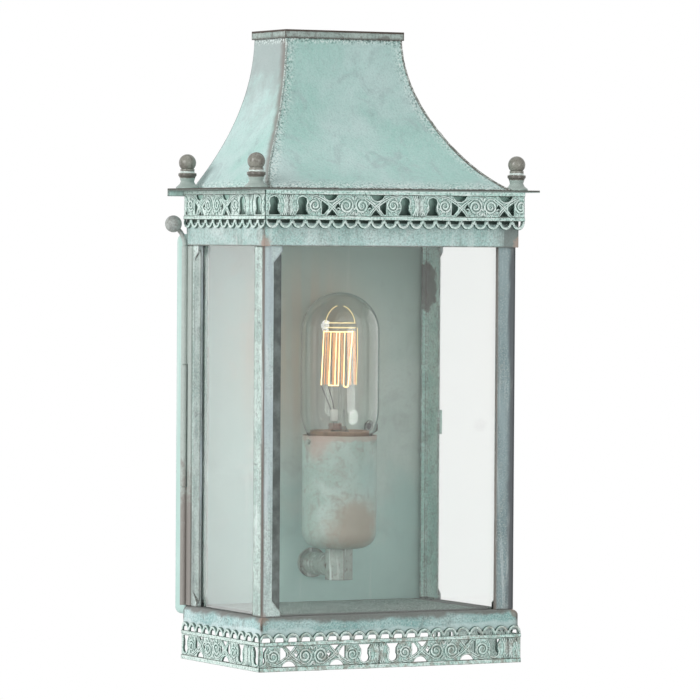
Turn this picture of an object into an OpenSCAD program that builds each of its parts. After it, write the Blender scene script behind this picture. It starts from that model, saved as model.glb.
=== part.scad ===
// Wall lantern: a half lantern of patinated brass sheet, glazed on three sides, with a concave
// roof and pierced galleries. Its case swings like a door on a long hinge at the left edge of a
// flat back box, which carries the lamp.
// Frame: the wall is the plane y = 0, the front faces -y, and the origin is midway between the
// two wall screws, on the wall.

/* [Case] */
// Width of the case over its corner posts
case_w = 158.4; // [150:0.2:170]
// Depth of the case over its corner posts
case_d = 96.4; // [90:0.2:110]
// Height of the glazed part, between the base rail and the top rail
glazed_h = 204.5; // [196:0.5:220]
// Height of the top rail, from the glazed part to the eave
head_h = 31; // [28:0.5:36]
// Height of the moulded base rail
sill_h = 11.5; // [9:0.1:13]
// How far the base rail stands out from the posts
sill_out = 2; // [1.6:0.1:3]
// Radius of the base rail's rounded top edge
sill_round = 3.2; // [2.4:0.1:4]
// Thickness of the rolled and folded brass sheet
sheet_t = 1.2; // [1:0.1:1.5]
// Gap between the case and the face of the back box
case_gap = 0.5; // [0.4:0.05:0.8]

/* [Corner posts] */
// Width of a post's flange on the front of the case
post_face = 11; // [9.5:0.5:13]
// Width of a post's flange on the side of the case
post_side = 13; // [11.5:0.5:15]
// Width of a rear post's flange on the back of the case
post_back = 8; // [7:0.5:11]
// Thickness of a post's flanges
post_t = 3; // [2.6:0.1:3.6]
// Width of the bevel along the edge of a flange
bevel_w = 5.5; // [4:0.5:7]
// Depth that the bevel takes off the edge of a flange
bevel_depth = 1.6; // [1:0.1:2]
// Height of the slanted stop at each end of a bevel
bevel_stop = 7.5; // [4:0.5:10]
// Plain length between the rail and the stop
bevel_plain = 1.5; // [0.5:0.5:4]

/* [Glazing] */
// Thickness of the glass
glass_t = 2; // [1.8:0.1:2.4]
// Gap left round each pane
glass_fit = 0.2; // [0.1:0.05:0.4]
// Width of a glazing clip
clip_w = 5.5; // [4:0.5:8]
// Length of each leg of a glazing clip
clip_leg = 4; // [3:0.5:6]
// Thickness of a glazing clip
clip_t = 0.6; // [0.5:0.1:0.8]

/* [Galleries] */
// Height of the pierced strip
gallery_h = 21.2; // [20:0.2:24]
// Thickness of the pierced strip
gallery_t = 0.9; // [0.8:0.1:1.2]
// Width of the rail along the strip's plain edge
edge_rail = 2.3; // [1.8:0.1:2.8]
// Height of the scrolled frieze between the two rails
frieze_h = 12; // [11:0.2:13]
// Width of the rail between the frieze and the arches
inner_rail = 1.9; // [1.5:0.1:2.4]
// How far the rails stand out from the strip
bead = 0.5; // [0.3:0.1:0.7]
// Width of the metal round each arch
arch_bar = 1.25; // [1:0.05:1.6]
// Overlap of the lower gallery on the base rail
gallery_lap = 2.7; // [2:0.1:3.4]
// Arches along the front
front_arches = 20; // [16:2:24]
// Arches along each side
side_arches = 11; // [10:1:13]
// Arches in one repeat of the frieze
repeat_arches = 10; // [9:1:11]
// How far the upper gallery stands out from the posts at the front
crown_out = 4.7; // [3.6:0.1:6]

/* [Eave and roof] */
// How far the eave stands out from the posts at each side
eave_side = 12.1; // [11:0.1:14]
// How far the eave stands behind the posts
eave_back = 2.8; // [2:0.1:4]
// Thickness of the eave plate
eave_t = 1.2; // [1:0.1:1.6]
// Height of the folded edge along the back of the eave
eave_drip = 3.2; // [2.6:0.1:4]
// Height of the roof from the eave to the cap
roof_h = 85.3; // [76:0.1:92]
// How far the roof's foot stands in from the posts at each side
roof_in = 3.6; // [3.4:0.1:6]
// How far the roof's front edge stands back from the eave's
roof_set = 5.9; // [5:0.1:8]
// Width of the roof's neck under the cap
neck_w = 73.6; // [70:0.2:78]
// Depth of the roof's neck under the cap
neck_d = 40.3; // [38:0.1:44]
// Height of the sharp flare at the foot of the roof's front
roof_kick = 12; // [8:0.5:14]
// Thickness of the roof sheet
roof_t = 1; // [0.8:0.1:1.4]
// Height of the cap
cap_h = 4.8; // [4:0.1:7]
// How far the cap stands out from the roof's neck
cap_out = 1.15; // [1.1:0.05:2]
// Thickness of the cap's sheet
cap_t = 0.9; // [0.8:0.1:1]

/* [Finials] */
// Diameter of a finial's ball
ball_d = 9.8; // [9:0.2:11]
// Diameter of a finial's foot
foot_d = 13; // [12:0.2:13.4]
// Distance of a finial's axis from the posts' outer side
finial_side = 3.2; // [2.8:0.1:4]
// Distance of the front finials' axes behind the posts' front
finial_front = 4.9; // [4:0.1:9]
// Distance of the rear finials' axes in front of the posts' back
finial_back = 4.6; // [4:0.1:6]

/* [Back box] */
// How far the back box stands out from the case at each side
box_over = 0.3; // [0.2:0.1:1]
// How far the back box reaches above the glazed part
box_up = 6.5; // [4:0.5:8]
// How far the back box reaches below the glazed part
box_down = 5.6; // [4:0.2:8]
// Depth of the back box from the wall to its face
box_depth = 13.5; // [12:0.5:16]
// Thickness of the back box's sheet
box_t = 1; // [0.8:0.1:1.2]
// Radius of the back box's corners
box_corner = 4; // [3:0.5:6]
// Width of the wall bracket
bracket_w = 26; // [22:0.5:32]
// Thickness of the wall bracket
bracket_t = 1.5; // [1.2:0.1:2]
// Distance between the two wall screws
wall_pitch = 140; // [120:1:150]
// Diameter of a wall screw's hole
wall_hole = 5; // [4.5:0.5:6]
// Diameter of the hole for the supply cable
cable_hole = 12; // [10:0.5:16]

/* [Hinge and catch] */
// Distance of the hinge axis from the side of the case
hinge_side = 2.3; // [2.2:0.05:2.6]
// Outer diameter of the hinge's knuckles
knuckle_d = 3.4; // [3.2:0.1:3.6]
// Diameter of the hinge pin
pin_d = 2; // [1.8:0.1:2.1]
// Radial clearance of the pin in its knuckles
pin_fit = 0.05; // [0.03:0.01:0.08]
// Thickness of the hinge's leaves
leaf_t = 1; // [0.9:0.05:1.1]
// Width of the hinge's leaves
leaf_w = 6; // [5:0.5:8]
// Length of the middle knuckle, which is on the back box
mid_knuckle = 69; // [55:1:85]
// Gap between neighbouring knuckles
knuckle_gap = 0.4; // [0.3:0.05:0.6]
// Diameter of the bent top of the pin
horn_d = 2.6; // [2.4:0.1:3]
// Radius of the bend at the top of the pin
horn_bend = 12; // [11:0.5:13]
// Angle of the bend at the top of the pin
horn_angle = 45; // [40:1:50]
// Length from the bend to the middle of the ball
horn_end = 5.2; // [5:0.1:6]
// Diameter of the ball at the top of the pin
knob_d = 9.6; // [9:0.1:10]
// Width of the catch
catch_w = 14; // [12:1:20]
// Reach of the catch over the case's rear post
catch_grip = 8; // [6:0.5:10]
// Thickness of the catch
catch_t = 0.8; // [0.6:0.1:1]
// Radius of the catch's rolled edge
catch_roll = 1.2; // [1:0.1:1.6]

/* [Lamp] */
// Distance of the lamp's axis from the wall
lamp_out = 48.2; // [44:0.2:54]
// Height of the lamp arm above the case's underside
arm_up = 52.6; // [50:0.2:56]
// Diameter of the lamp arm
arm_d = 13; // [12:0.5:14]
// Diameter of the collar at the root of the arm
collar_d = 17; // [16:0.5:20]
// Thickness of the collar
collar_t = 2.6; // [2:0.1:4]
// Width of the coupling across its flats
coupling_af = 13.6; // [13:0.2:15]
// Height of the coupling
coupling_h = 18; // [16:0.5:20]
// Turn of the coupling's flats
coupling_turn = 24; // [0:1:60]
// Diameter of the screwed tubes that hold the lamp
nipple_d = 9.6; // [9:0.2:10]
// Diameter of the lamp cup
cup_d = 42.4; // [41:0.2:46]
// Height of the lamp cup
cup_h = 64.4; // [62:0.2:70]
// Radius of the cup's bottom edge
cup_round = 10; // [8:0.5:12]
// Thickness of the cup's wall
cup_t = 0.8; // [0.7:0.1:1.1]
// Diameter of the bulb
bulb_d = 44.8; // [43:0.2:46]
// Length of the bulb with its cap
bulb_l = 110; // [106:0.5:114]
// Thickness of the bulb's glass
bulb_t = 0.8; // [0.7:0.1:1]
// Diameter of the bulb's screw cap
screw_d = 26; // [25.8:0.1:26.4]
// Length of the bulb's screw cap
screw_l = 25; // [24:0.5:27]

/* [Hidden] */
$fn = 64;
// Polygon steps of the roof's curve
roof_steps = 20;
// Overshoot of a cut past the face that it goes through
past = 1;

roof_w = case_w - 2 * roof_in;
box_w = case_w + 2 * box_over;
box_h = glazed_h + box_up + box_down;
// Height of the back box's lower edge above the case's underside
box_foot = gallery_h - gallery_lap + sill_h - box_down;

// Heights, from the wall screws' midpoint
z_case = -(box_foot + box_h / 2);
z_sill = z_case + gallery_h - gallery_lap;
z_floor = z_sill + sill_h;
z_head = z_floor + glazed_h;
z_eave = z_head + head_h;
z_roof = z_eave + eave_t;
z_neck = z_roof + roof_h;
z_cap = z_neck + cap_h;
z_box = z_case + box_foot;
z_arm = z_case + arm_up;

// Places across and out from the wall
x_post = case_w / 2;
y_rear = -(box_depth + case_gap);
y_front = y_rear - case_d;
x_eave = x_post + eave_side;
y_crown = y_front - crown_out;
y_eave = y_crown - gallery_t - bead;
y_back = y_rear + eave_back;
x_hinge = -(x_post + hinge_side);
y_hinge = -(box_depth + case_gap / 2);
y_lamp = -lamp_out;

// Plain metal at each end of a pierced strip
plain_end = 2.2;
// Depth of the bulb's foot below the cup's rim, and the gaps round the holder and the bulb's cap
bulb_sunk = 3.7;
holder_gap = 0.4;
screw_gap = 0.5;

// Seats that more than one piece uses
ledge = max(post_side, post_face) + 1;
glass_top = z_eave - clip_t - glass_fit;
pane_half = x_post - post_t - glass_fit;
crown_side = sheet_t;
gallery_face = gallery_t + bead;
frieze_top = edge_rail + frieze_h;
arch_foot = frieze_top + inner_rail;
cup_r = cup_d / 2;
z_coupling = z_arm - arm_d / 2 - (coupling_h - arm_d) / 4;
z_cup = z_coupling + coupling_h;
z_rim = z_cup + cup_h;
bulb_r = bulb_d / 2;
z_bulb_top = z_rim + bulb_l - screw_l - bulb_sunk;
z_screw_top = z_bulb_top - bulb_l + screw_l;
holder_r = cup_r - cup_t - holder_gap;
holder_bore = screw_d / 2 + screw_gap;
z_holder = z_cup + cup_t;
holder_floor = z_screw_top - screw_l - 1;

MINT = "#9cc4b8";
PALE = "#b3cfc6";
BARE = "#7c7468";
BRASS = "#b59a5c";

// Turns a piece made for the left side into its twin on the right
module on_right() {
    mirror([1, 0, 0]) children();
}

// Lays a piece made along x, with its outer side towards -y, on the left side of the case
module on_left() {
    translate([-x_post, y_rear, 0]) rotate([0, 0, -90]) children();
}

// Rectangle with round corners, centred
module round_rect(w, h, r) {
    square([w - 2 * r, h], center = true);
    square([w, h - 2 * r], center = true);
    for (sx = [-1, 1], sz = [-1, 1]) {
        translate([sx * (w / 2 - r), sz * (h / 2 - r)]) circle(r);
    }
}

// Upright ring or disc on a vertical axis
module tube(r_out, r_in, h) {
    difference() {
        cylinder(r = r_out, h = h);
        if (r_in > 0) {
            translate([0, 0, -past]) cylinder(r = r_in, h = h + 2 * past);
        }
    }
}

// Back box: a folded pan, open to the wall

module back_box() {
    color(MINT) difference() {
        rotate([90, 0, 0]) linear_extrude(box_depth) round_rect(box_w, box_h, box_corner);
        translate([0, past, 0]) rotate([90, 0, 0]) linear_extrude(box_depth - box_t + past) {
            round_rect(box_w - 2 * box_t, box_h - 2 * box_t, box_corner - box_t);
        }
        translate([0, 0, z_arm]) rotate([90, 0, 0]) {
            cylinder(r = nipple_d / 2 + 0.1, h = box_depth + past);
        }
        for (s = [-1, 1]) translate([0, -box_depth / 2, s * box_h / 2]) {
            cylinder(r = 2.1, h = 4 * box_t, center = true);
        }
    }
}

// A strap on the wall, with an ear folded up at each end under the box's flanges
module wall_bracket() {
    ear = box_depth - box_t - 1.5;
    strap_h = box_h - 2 * box_t - 0.6;
    color(BRASS) difference() {
        union() {
            translate([-bracket_w / 2, -bracket_t, -strap_h / 2]) {
                cube([bracket_w, bracket_t, strap_h]);
            }
            for (s = [-1, 1]) {
                translate([-bracket_w / 2, -ear, s * (strap_h / 2 - bracket_t / 2) - bracket_t / 2]) {
                    cube([bracket_w, ear, bracket_t]);
                }
            }
        }
        for (s = [-1, 1]) {
            translate([0, past, s * wall_pitch / 2]) rotate([90, 0, 0]) {
                cylinder(r = wall_hole / 2, h = bracket_t + 2 * past);
            }
            translate([0, -box_depth / 2, s * strap_h / 2]) {
                cylinder(r = 1.65, h = 4 * bracket_t, center = true);
            }
        }
        translate([0, past, 0]) rotate([90, 0, 0]) {
            cylinder(r = cable_hole / 2, h = bracket_t + 2 * past);
        }
    }
}

// Screws that hold the back box on its bracket, from above and below
module bracket_screws() {
    shank = box_t + 0.3 + bracket_t + 2;
    color(BRASS) for (s = [0, 1]) mirror([0, 0, s]) {
        translate([0, -box_depth / 2, box_h / 2]) {
            cylinder(r = 3.2, h = 1.8);
            translate([0, 0, -shank]) cylinder(r = 1.6, h = shank + past);
        }
    }
}

// Connector for the supply, on the inner side of the box's face
module terminal_block() {
    depth = 8;
    base_t = 5.2;
    height = 16;
    rise = 1.5;
    way = 8;
    color("#d8d4c4") translate([26, -box_depth + box_t, z_arm]) difference() {
        union() {
            cube([3 * way, base_t, height]);
            for (i = [0 : 2]) translate([1 + way * i, 0, rise]) cube([way - 2, depth, height - 2 * rise]);
        }
        for (i = [0 : 2]) translate([way / 2 + way * i, 0, 0]) {
            translate([0, 3.4, -past]) cylinder(r = 1.5, h = height + 2 * past);
            for (z = [4.6, height - 4.6]) {
                translate([0, depth + past, z]) rotate([90, 0, 0]) cylinder(r = 1.3, h = depth - 3);
            }
        }
    }
}

// Hinge: three long knuckles on one pin

module knuckle(z, h) {
    translate([x_hinge, y_hinge, z]) cylinder(r = knuckle_d / 2, h = h);
}

module pin_bore(z, h) {
    translate([x_hinge, y_hinge, z - past]) cylinder(r = pin_d / 2 + pin_fit, h = h + 2 * past);
}

z_mid = z_floor + (glazed_h - mid_knuckle) / 2;
z_low_knuckle = z_floor + knuckle_gap;
low_knuckle = z_mid - knuckle_gap - z_low_knuckle;
z_top_knuckle = z_mid + mid_knuckle + knuckle_gap;
top_knuckle = z_head - knuckle_gap - z_top_knuckle;

module hinge_leaf_fixed() {
    color(BARE) difference() {
        union() {
            knuckle(z_mid, mid_knuckle);
            translate([-box_w / 2 - leaf_t, -box_depth, z_mid]) cube([leaf_t, leaf_w, mid_knuckle]);
        }
        pin_bore(z_mid, mid_knuckle);
    }
}

// The leaf on the case: one plate, cut back round the middle knuckle
module hinge_leaf_moving() {
    clear = knuckle_d / 2 + 0.4;
    color(BARE) difference() {
        union() {
            knuckle(z_low_knuckle, low_knuckle);
            knuckle(z_top_knuckle, top_knuckle);
            translate([-x_post - leaf_t, y_rear - leaf_w, z_low_knuckle]) {
                cube([leaf_t, leaf_w, z_head - knuckle_gap - z_low_knuckle]);
            }
        }
        pin_bore(z_low_knuckle, glazed_h);
        translate([x_hinge, y_hinge - clear, z_mid - knuckle_gap]) {
            cube([2 * clear, 2 * clear, mid_knuckle + 2 * knuckle_gap]);
        }
    }
}

// Loose pin with a bent top and a ball to lift it by
module hinge_pin() {
    sunk = 0.8;
    color(BARE) translate([x_hinge, y_hinge, z_head]) {
        translate([0, 0, z_low_knuckle - z_head]) cylinder(r = pin_d / 2, h = z_head - z_low_knuckle + sunk);
        translate([-horn_bend, 0, 0]) rotate([90, 0, 0]) {
            rotate_extrude(angle = horn_angle) translate([horn_bend, 0]) circle(horn_d / 2);
        }
        translate([-horn_bend * (1 - cos(horn_angle)), 0, horn_bend * sin(horn_angle)]) {
            rotate([0, -horn_angle, 0]) {
                translate([0, 0, -sunk]) cylinder(r = horn_d / 2 - 0.1, h = horn_end + sunk);
                translate([0, 0, horn_end]) sphere(r = knob_d / 2);
            }
        }
    }
}

// Sprung tongue on the free side of the box, bearing on the case's rear post
module catch_spring() {
    color(BRASS) translate([box_w / 2, 0, -catch_w / 2]) difference() {
        union() {
            translate([0, y_rear - catch_grip, 0]) cube([catch_t, catch_grip + box_depth, catch_w]);
            translate([catch_roll, y_rear - catch_grip, 0]) cylinder(r = catch_roll, h = catch_w);
        }
        for (z = [catch_w / 4, catch_w * 3 / 4]) {
            translate([-past, -box_depth / 2, z]) rotate([0, 90, 0]) cylinder(r = 1.3, h = 3);
        }
    }
}

module catch_rivets() {
    color(BRASS) for (z = [-1, 1]) {
        translate([box_w / 2 + catch_t, -box_depth / 2, z * catch_w / 4]) rotate([0, 90, 0]) {
            cylinder(r1 = 2.2, r2 = 1.5, h = 1);
            translate([0, 0, -catch_t]) cylinder(r = 1.2, h = 1);
        }
    }
}

// Lamp: arm, coupling and cup

module along_y(y, z) {
    translate([0, y, z]) rotate([90, 0, 0]) children();
}

module coupling_block(h) {
    translate([0, y_lamp, z_coupling]) rotate([0, 0, coupling_turn]) {
        cylinder(d = coupling_af / cos(30), h = h, $fn = 6);
    }
}

module arm_collar() {
    color(BARE) along_y(-box_depth, z_arm) tube(collar_d / 2, nipple_d / 2 + 0.05, collar_t);
}

module lamp_arm() {
    color(BARE) difference() {
        union() {
            along_y(-box_depth - collar_t, z_arm) cylinder(r = arm_d / 2, h = lamp_out - box_depth - collar_t);
            along_y(-box_depth + box_t + 6, z_arm) cylinder(r = nipple_d / 2, h = collar_t + box_t + 6 + past);
        }
        coupling_block(coupling_h);
        translate([-arm_d, y_lamp - arm_d, z_arm - arm_d]) cube([2 * arm_d, arm_d, 2 * arm_d]);
        along_y(0, z_arm) cylinder(r = 3, h = lamp_out);
    }
}

module arm_nut() {
    color(BRASS) along_y(-box_depth + box_t + 3, z_arm) difference() {
        cylinder(r = 8.1, h = 3, $fn = 6);
        translate([0, 0, -past]) cylinder(r = nipple_d / 2 + 0.05, h = 3 + 2 * past);
    }
}

// Six-sided coupling, bored upwards for the cup's nipple and backwards for the wires
module arm_coupling() {
    color(BRASS) difference() {
        coupling_block(coupling_h);
        translate([0, y_lamp, z_coupling + 4]) cylinder(r = nipple_d / 2 + 0.05, h = coupling_h);
        translate([0, 0, z_arm]) rotate([90, 0, 0]) cylinder(r = 3, h = lamp_out);
    }
}

module cup_nipple() {
    z_top = z_holder + 5;
    color(BRASS) translate([0, y_lamp, z_cup - 6]) tube(nipple_d / 2, 3.4, z_top - z_cup + 6);
}

// Outline of the drawn cup, as deep as its outer or its inner side
module cup_outline(inset) {
    r = cup_r - inset;
    round = cup_round - inset;
    translate([0, inset + round]) square([r, cup_h]);
    translate([0, inset]) square([r - round, cup_h]);
    translate([r - round, inset + round]) circle(round);
}

module lamp_cup() {
    color(MINT) translate([0, y_lamp, z_cup]) difference() {
        rotate_extrude() difference() {
            intersection() {
                cup_outline(0);
                square([cup_d, cup_h]);
            }
            cup_outline(cup_t);
        }
        translate([0, 0, -past]) cylinder(r = nipple_d / 2 + 0.1, h = 4 * cup_t);
    }
}

// Porcelain holder, screwed on the nipple
module lampholder() {
    height = z_rim - 7 - z_holder;
    lower_r = cup_r - cup_round;
    color("#e6e0d2") translate([0, y_lamp, z_holder]) difference() {
        union() {
            cylinder(r = lower_r, h = height);
            translate([0, 0, cup_round]) cylinder(r = holder_r, h = height - cup_round);
        }
        translate([0, 0, holder_floor - z_holder]) cylinder(r = holder_bore, h = height);
        translate([0, 0, -past]) cylinder(r = nipple_d / 2 + 0.05, h = 6.2 + past);
        translate([0, 0, 2]) cylinder(r = 3, h = height);
    }
}

// Bulb

module bulb_cap() {
    tip = 4;
    z_bottom = z_screw_top - screw_l;
    color(BRASS) translate([0, y_lamp, z_bottom]) {
        cylinder(r1 = 4.5, r2 = 6, h = tip);
        translate([0, 0, tip / 2]) cylinder(r1 = 6, r2 = screw_d / 2, h = tip - tip / 2);
        translate([0, 0, tip]) cylinder(r = screw_d / 2, h = screw_l - tip);
    }
}

bulb_shoulder = 18.5;
bulb_sweep = 30;

// Half outline of the tubular bulb: round top, straight side, and a curve in to the cap
module bulb_outline(inset) {
    r = bulb_r - inset;
    top = z_bulb_top - bulb_r;
    shoulder = z_screw_top + bulb_shoulder;
    intersection() {
        translate([0, top]) circle(r);
        translate([0, top]) square([r, r]);
    }
    translate([0, shoulder]) square([r, top - shoulder]);
    intersection() {
        translate([0, z_screw_top]) square([r, bulb_shoulder]);
        translate([bulb_r - bulb_sweep, shoulder]) circle(bulb_sweep - inset);
    }
}

module bulb_glass() {
    color("#dfe8e0", 0.35) translate([0, y_lamp, 0]) rotate_extrude() difference() {
        bulb_outline(0);
        difference() {
            bulb_outline(bulb_t);
            translate([0, z_screw_top]) square([bulb_r, bulb_t]);
        }
    }
}

press_rise = 18;
cage_rise = 12.5;
cage_h = 32;
bead_rise = 5;
z_press = z_screw_top + press_rise;
press_r = 3;
cage_low = z_press + cage_rise;
cage_top = cage_low + cage_h;
cage_low_r = 10.2;
cage_top_r = 9.4;
strands = 8;
wire_d = 0.5;
bend_d = 0.9;
bead_d = 2.4;
z_bead = cage_top + bead_rise;

// Glass mount: flare, flattened press, and a thin rod up the middle
module bulb_stem() {
    foot = z_screw_top + bulb_t;
    flare = 8;
    waist = press_r + 0.6;
    color("#e4ebe4", 0.5) translate([0, y_lamp, foot]) {
        cylinder(r1 = flare, r2 = waist, h = flare);
        translate([0, 0, flare]) cylinder(r1 = waist, r2 = press_r, h = z_press - foot - flare);
        cylinder(r = bead_d / 3, h = z_bead - foot);
        translate([0, 0, z_bead - foot]) sphere(d = bead_d);
    }
}

function ring_point(r, turn, z) = [r * cos(turn), r * sin(turn), z];

// Straight round wire between two points
module wire(a, b, d) {
    v = b - a;
    length = norm(v);
    translate(a) rotate([0, acos(v[2] / length), atan2(v[1], v[0])]) cylinder(d = d, h = length, $fn = 16);
}

// Cage of glowing wire: upright strands on a ring, joined in turn at their feet and their heads
module filament() {
    step = 360 / strands;
    color("#ffd27a") translate([0, y_lamp, 0]) for (i = [0 : strands - 1]) {
        foot = ring_point(cage_low_r, (i + 0.5) * step, cage_low);
        head = ring_point(cage_top_r, (i + 0.5) * step, cage_top);
        wire(foot, head, wire_d);
        translate(foot) sphere(d = bend_d, $fn = 16);
        translate(head) sphere(d = bend_d, $fn = 16);
        if (i < strands - 1) {
            if (i % 2 == 0) wire(foot, ring_point(cage_low_r, (i + 1.5) * step, cage_low), wire_d);
            else wire(head, ring_point(cage_top_r, (i + 1.5) * step, cage_top), wire_d);
        }
    }
}

// Hooks from the rod's tip to the cage's top, and two leads from the press to its bottom
module filament_wires() {
    step = 360 / strands;
    lead_d = 0.4;
    side = press_r + lead_d;
    tip = [0, 0, z_bead + (bead_d + bend_d) / 2 + 0.1];
    color("#8d8a84") translate([0, y_lamp, 0]) {
        translate(tip) sphere(d = bend_d, $fn = 16);
        for (i = [1 : 2 : strands - 2]) {
            wire(tip, ring_point(cage_top_r, (i + 1) * step, cage_top + bend_d), lead_d);
        }
        for (i = [0, strands - 1]) {
            turn = (i + 0.5) * step;
            wire(ring_point(side, turn, z_press - side), ring_point(cage_low_r, turn, cage_low - bend_d), lead_d);
        }
    }
}

// Base of the case

// Bar with a rounded upper outer edge; x is the distance out from its inner edge
module sill_section(w, h, r) {
    square([w - r, h]);
    square([w, h - r]);
    translate([w - r, h - r]) circle(r);
}

// Rolled moulding with a ledge for the posts and the glass, along x and centred
module sill_bar(length) {
    w = ledge + sill_out;
    translate([-length / 2, ledge, z_sill]) rotate([90, 0, 90]) mirror([1, 0, 0]) {
        linear_extrude(length) difference() {
            sill_section(w, sill_h, sill_round);
            translate([-past, -past]) {
                sill_section(w - sheet_t + past, sill_h - sheet_t + past, sill_round - sheet_t);
            }
        }
    }
}

module base_rail_front() {
    half = x_post + sill_out;
    color(MINT) translate([0, y_front, 0]) intersection() {
        sill_bar(2 * half);
        translate([0, 0, z_sill]) linear_extrude(sill_h) polygon([
            [-half, -sill_out], [half, -sill_out],
            [x_post - ledge, ledge], [ledge - x_post, ledge]
        ]);
    }
}

module base_rail_left() {
    color(PALE) on_left() intersection() {
        translate([case_d / 2, 0, 0]) sill_bar(case_d + 2 * sill_out);
        translate([0, 0, z_sill]) linear_extrude(sill_h) polygon([
            [0, -sill_out], [case_d + sill_out, -sill_out],
            [case_d - ledge, ledge], [0, ledge]
        ]);
    }
}

module base_rail_rear() {
    half = x_post - ledge;
    color(MINT) translate([-half, y_rear - sheet_t, z_sill]) cube([2 * half, sheet_t, sill_h]);
}

module floor_plate() {
    half = x_post - ledge;
    color(MINT) translate([-half, y_front + ledge, z_floor - sheet_t]) {
        cube([2 * half, case_d - ledge - sheet_t, sheet_t]);
    }
}

// Pierced galleries

// One repeat of the frieze, centred on a leaf; p is the repeat's length
module frieze_holes(p) {
    mid = edge_rail + frieze_h / 2;
    for (s = [0, 1]) mirror([s, 0]) {
        // Keyhole beside the leaf, wide at the top
        translate([0.107 * p, edge_rail + 4]) circle(2.7, $fn = 24);
        translate([0.107 * p, 0]) polygon([
            [-2, edge_rail + 4], [2, edge_rail + 4], [2.2, frieze_top - 3.4],
            [3.9, frieze_top - 0.8], [-3.9, frieze_top - 0.8], [-2.2, frieze_top - 3.4]
        ]);
        // Crescent behind the small scroll
        translate([0.275 * p, mid + 1]) intersection() {
            translate([-2.6, 0]) circle(4.9, $fn = 32);
            translate([-1.6, -3.8]) square([4, 7.6]);
        }
        // Half round on the edge rail, under the crossing stems
        translate([0.32 * p, edge_rail]) intersection() {
            translate([0, -1.7]) circle(4.9, $fn = 32);
            translate([-5, 0.2]) square([10, 4]);
        }
        // Small triangle over the crossing
        translate([0.337 * p, frieze_top - 0.5]) polygon([[-3.2, 0], [3.2, 0], [0.6, -2.9], [-0.4, -2.9]]);
        // Small gap between the crossing and the large scroll
        translate([0.378 * p, mid + 0.9]) polygon([[-1.5, 0.2], [0.2, 1.9], [1.5, 0.3], [-0.1, -2]]);
    }
}

// Pierced strip from x = 0 to its length, its plain edge at y = 0 and its arches upwards.
// The first leaf stands at the given place, and every repeat follows from there.
module gallery_outline(length, arches, leaf) {
    pitch = length / arches;
    p = pitch * repeat_arches;
    r = pitch / 2;
    arch_y = gallery_h - r;
    difference() {
        union() {
            square([length, arch_foot]);
            intersection() {
                translate([0, arch_foot - past]) square([length, gallery_h]);
                for (i = [0 : arches - 1]) translate([(i + 0.5) * pitch, arch_y]) {
                    circle(r, $fn = 32);
                    translate([-r, arch_foot - arch_y - past]) square([2 * r, arch_y - arch_foot + past]);
                }
            }
        }
        for (i = [0 : arches - 1]) translate([(i + 0.5) * pitch, 0]) intersection() {
            translate([0, arch_y]) circle(r - arch_bar, $fn = 24);
            translate([-r, arch_foot]) square([2 * r, gallery_h]);
        }
        intersection() {
            translate([plain_end, 0]) square([length - 2 * plain_end, gallery_h]);
            for (k = [-1 : ceil(arches / repeat_arches)]) translate([leaf + k * p, 0]) frieze_holes(p);
        }
    }
}

// The strip as a solid: outline in x and z, outer face towards -y, back at y = 0, with the
// two rails standing out as beads
module gallery(length, arches, leaf) {
    rotate([90, 0, 0]) {
        linear_extrude(gallery_t) gallery_outline(length, arches, leaf * length / arches);
        linear_extrude(gallery_face) {
            square([length, edge_rail]);
            translate([0, frieze_top]) square([length, inner_rail]);
        }
    }
}

module lower_gallery_front() {
    half = x_post + sill_out + gallery_face;
    color(MINT) translate([-half, y_front - sill_out, z_case]) gallery(2 * half, front_arches, -1);
}

module lower_gallery_left() {
    length = case_d + sill_out;
    color(PALE) on_left() translate([length, -sill_out, z_case]) mirror([1, 0, 0]) {
        gallery(length, side_arches, 1.5);
    }
}

// The upper strips hang with their arches down
module upper_gallery_front() {
    half = x_post + crown_side + gallery_face;
    color(MINT) translate([-half, y_crown, z_eave]) mirror([0, 0, 1]) gallery(2 * half, front_arches, 1.7);
}

module upper_gallery_left() {
    length = case_d + crown_out + eave_back - sheet_t;
    color(PALE) on_left() translate([sheet_t - eave_back, -crown_side, z_eave]) mirror([0, 0, 1]) {
        gallery(length, side_arches, 9);
    }
}

// Corner posts

// Cutter for one bevel along a flange that runs along x, with its outer face at y = 0
module bevel_cut(flange) {
    low = z_floor + bevel_plain;
    high = z_head - bevel_plain;
    reach = bevel_w + past;
    translate([flange - bevel_w, 0, 0]) rotate([0, 0, atan(bevel_depth / bevel_w)]) {
        rotate([90, 0, 0]) linear_extrude(post_t) polygon([
            [0, low + bevel_stop], [reach, low], [reach, high], [0, high - bevel_stop]
        ]);
    }
}

// Folded angle: outer corner at the origin, one flange along x and one along y
module post(face, side) {
    difference() {
        translate([0, 0, z_floor]) linear_extrude(z_eave - z_floor) {
            square([face, post_t]);
            square([post_t, side]);
        }
        bevel_cut(face);
        mirror([1, -1, 0]) bevel_cut(side);
    }
}

module post_front_left() {
    color(PALE) translate([-x_post, y_front, 0]) post(post_face, post_side);
}

module post_rear_left() {
    color(PALE) translate([-x_post, y_rear, 0]) mirror([0, 1, 0]) post(post_back, post_side);
}

// Glass

module glass_front() {
    color("#e8f0ec", 0.25) translate([-pane_half, y_front + post_t, z_floor]) {
        cube([2 * pane_half, glass_t, glass_top - z_floor]);
    }
}

module glass_left() {
    start = y_front + post_t + glass_t + glass_fit;
    end = y_rear - post_t - glass_fit;
    color("#e8f0ec", 0.25) translate([-x_post + post_t, start, z_floor]) {
        cube([glass_t, end - start, glass_top - z_floor]);
    }
}

// One clip with its foot on the floor and its leg against a pane that faces -y
module clip_low() {
    translate([-clip_w / 2, 0, 0]) {
        cube([clip_w, clip_leg, clip_t]);
        cube([clip_w, clip_t, clip_leg]);
    }
}

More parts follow.
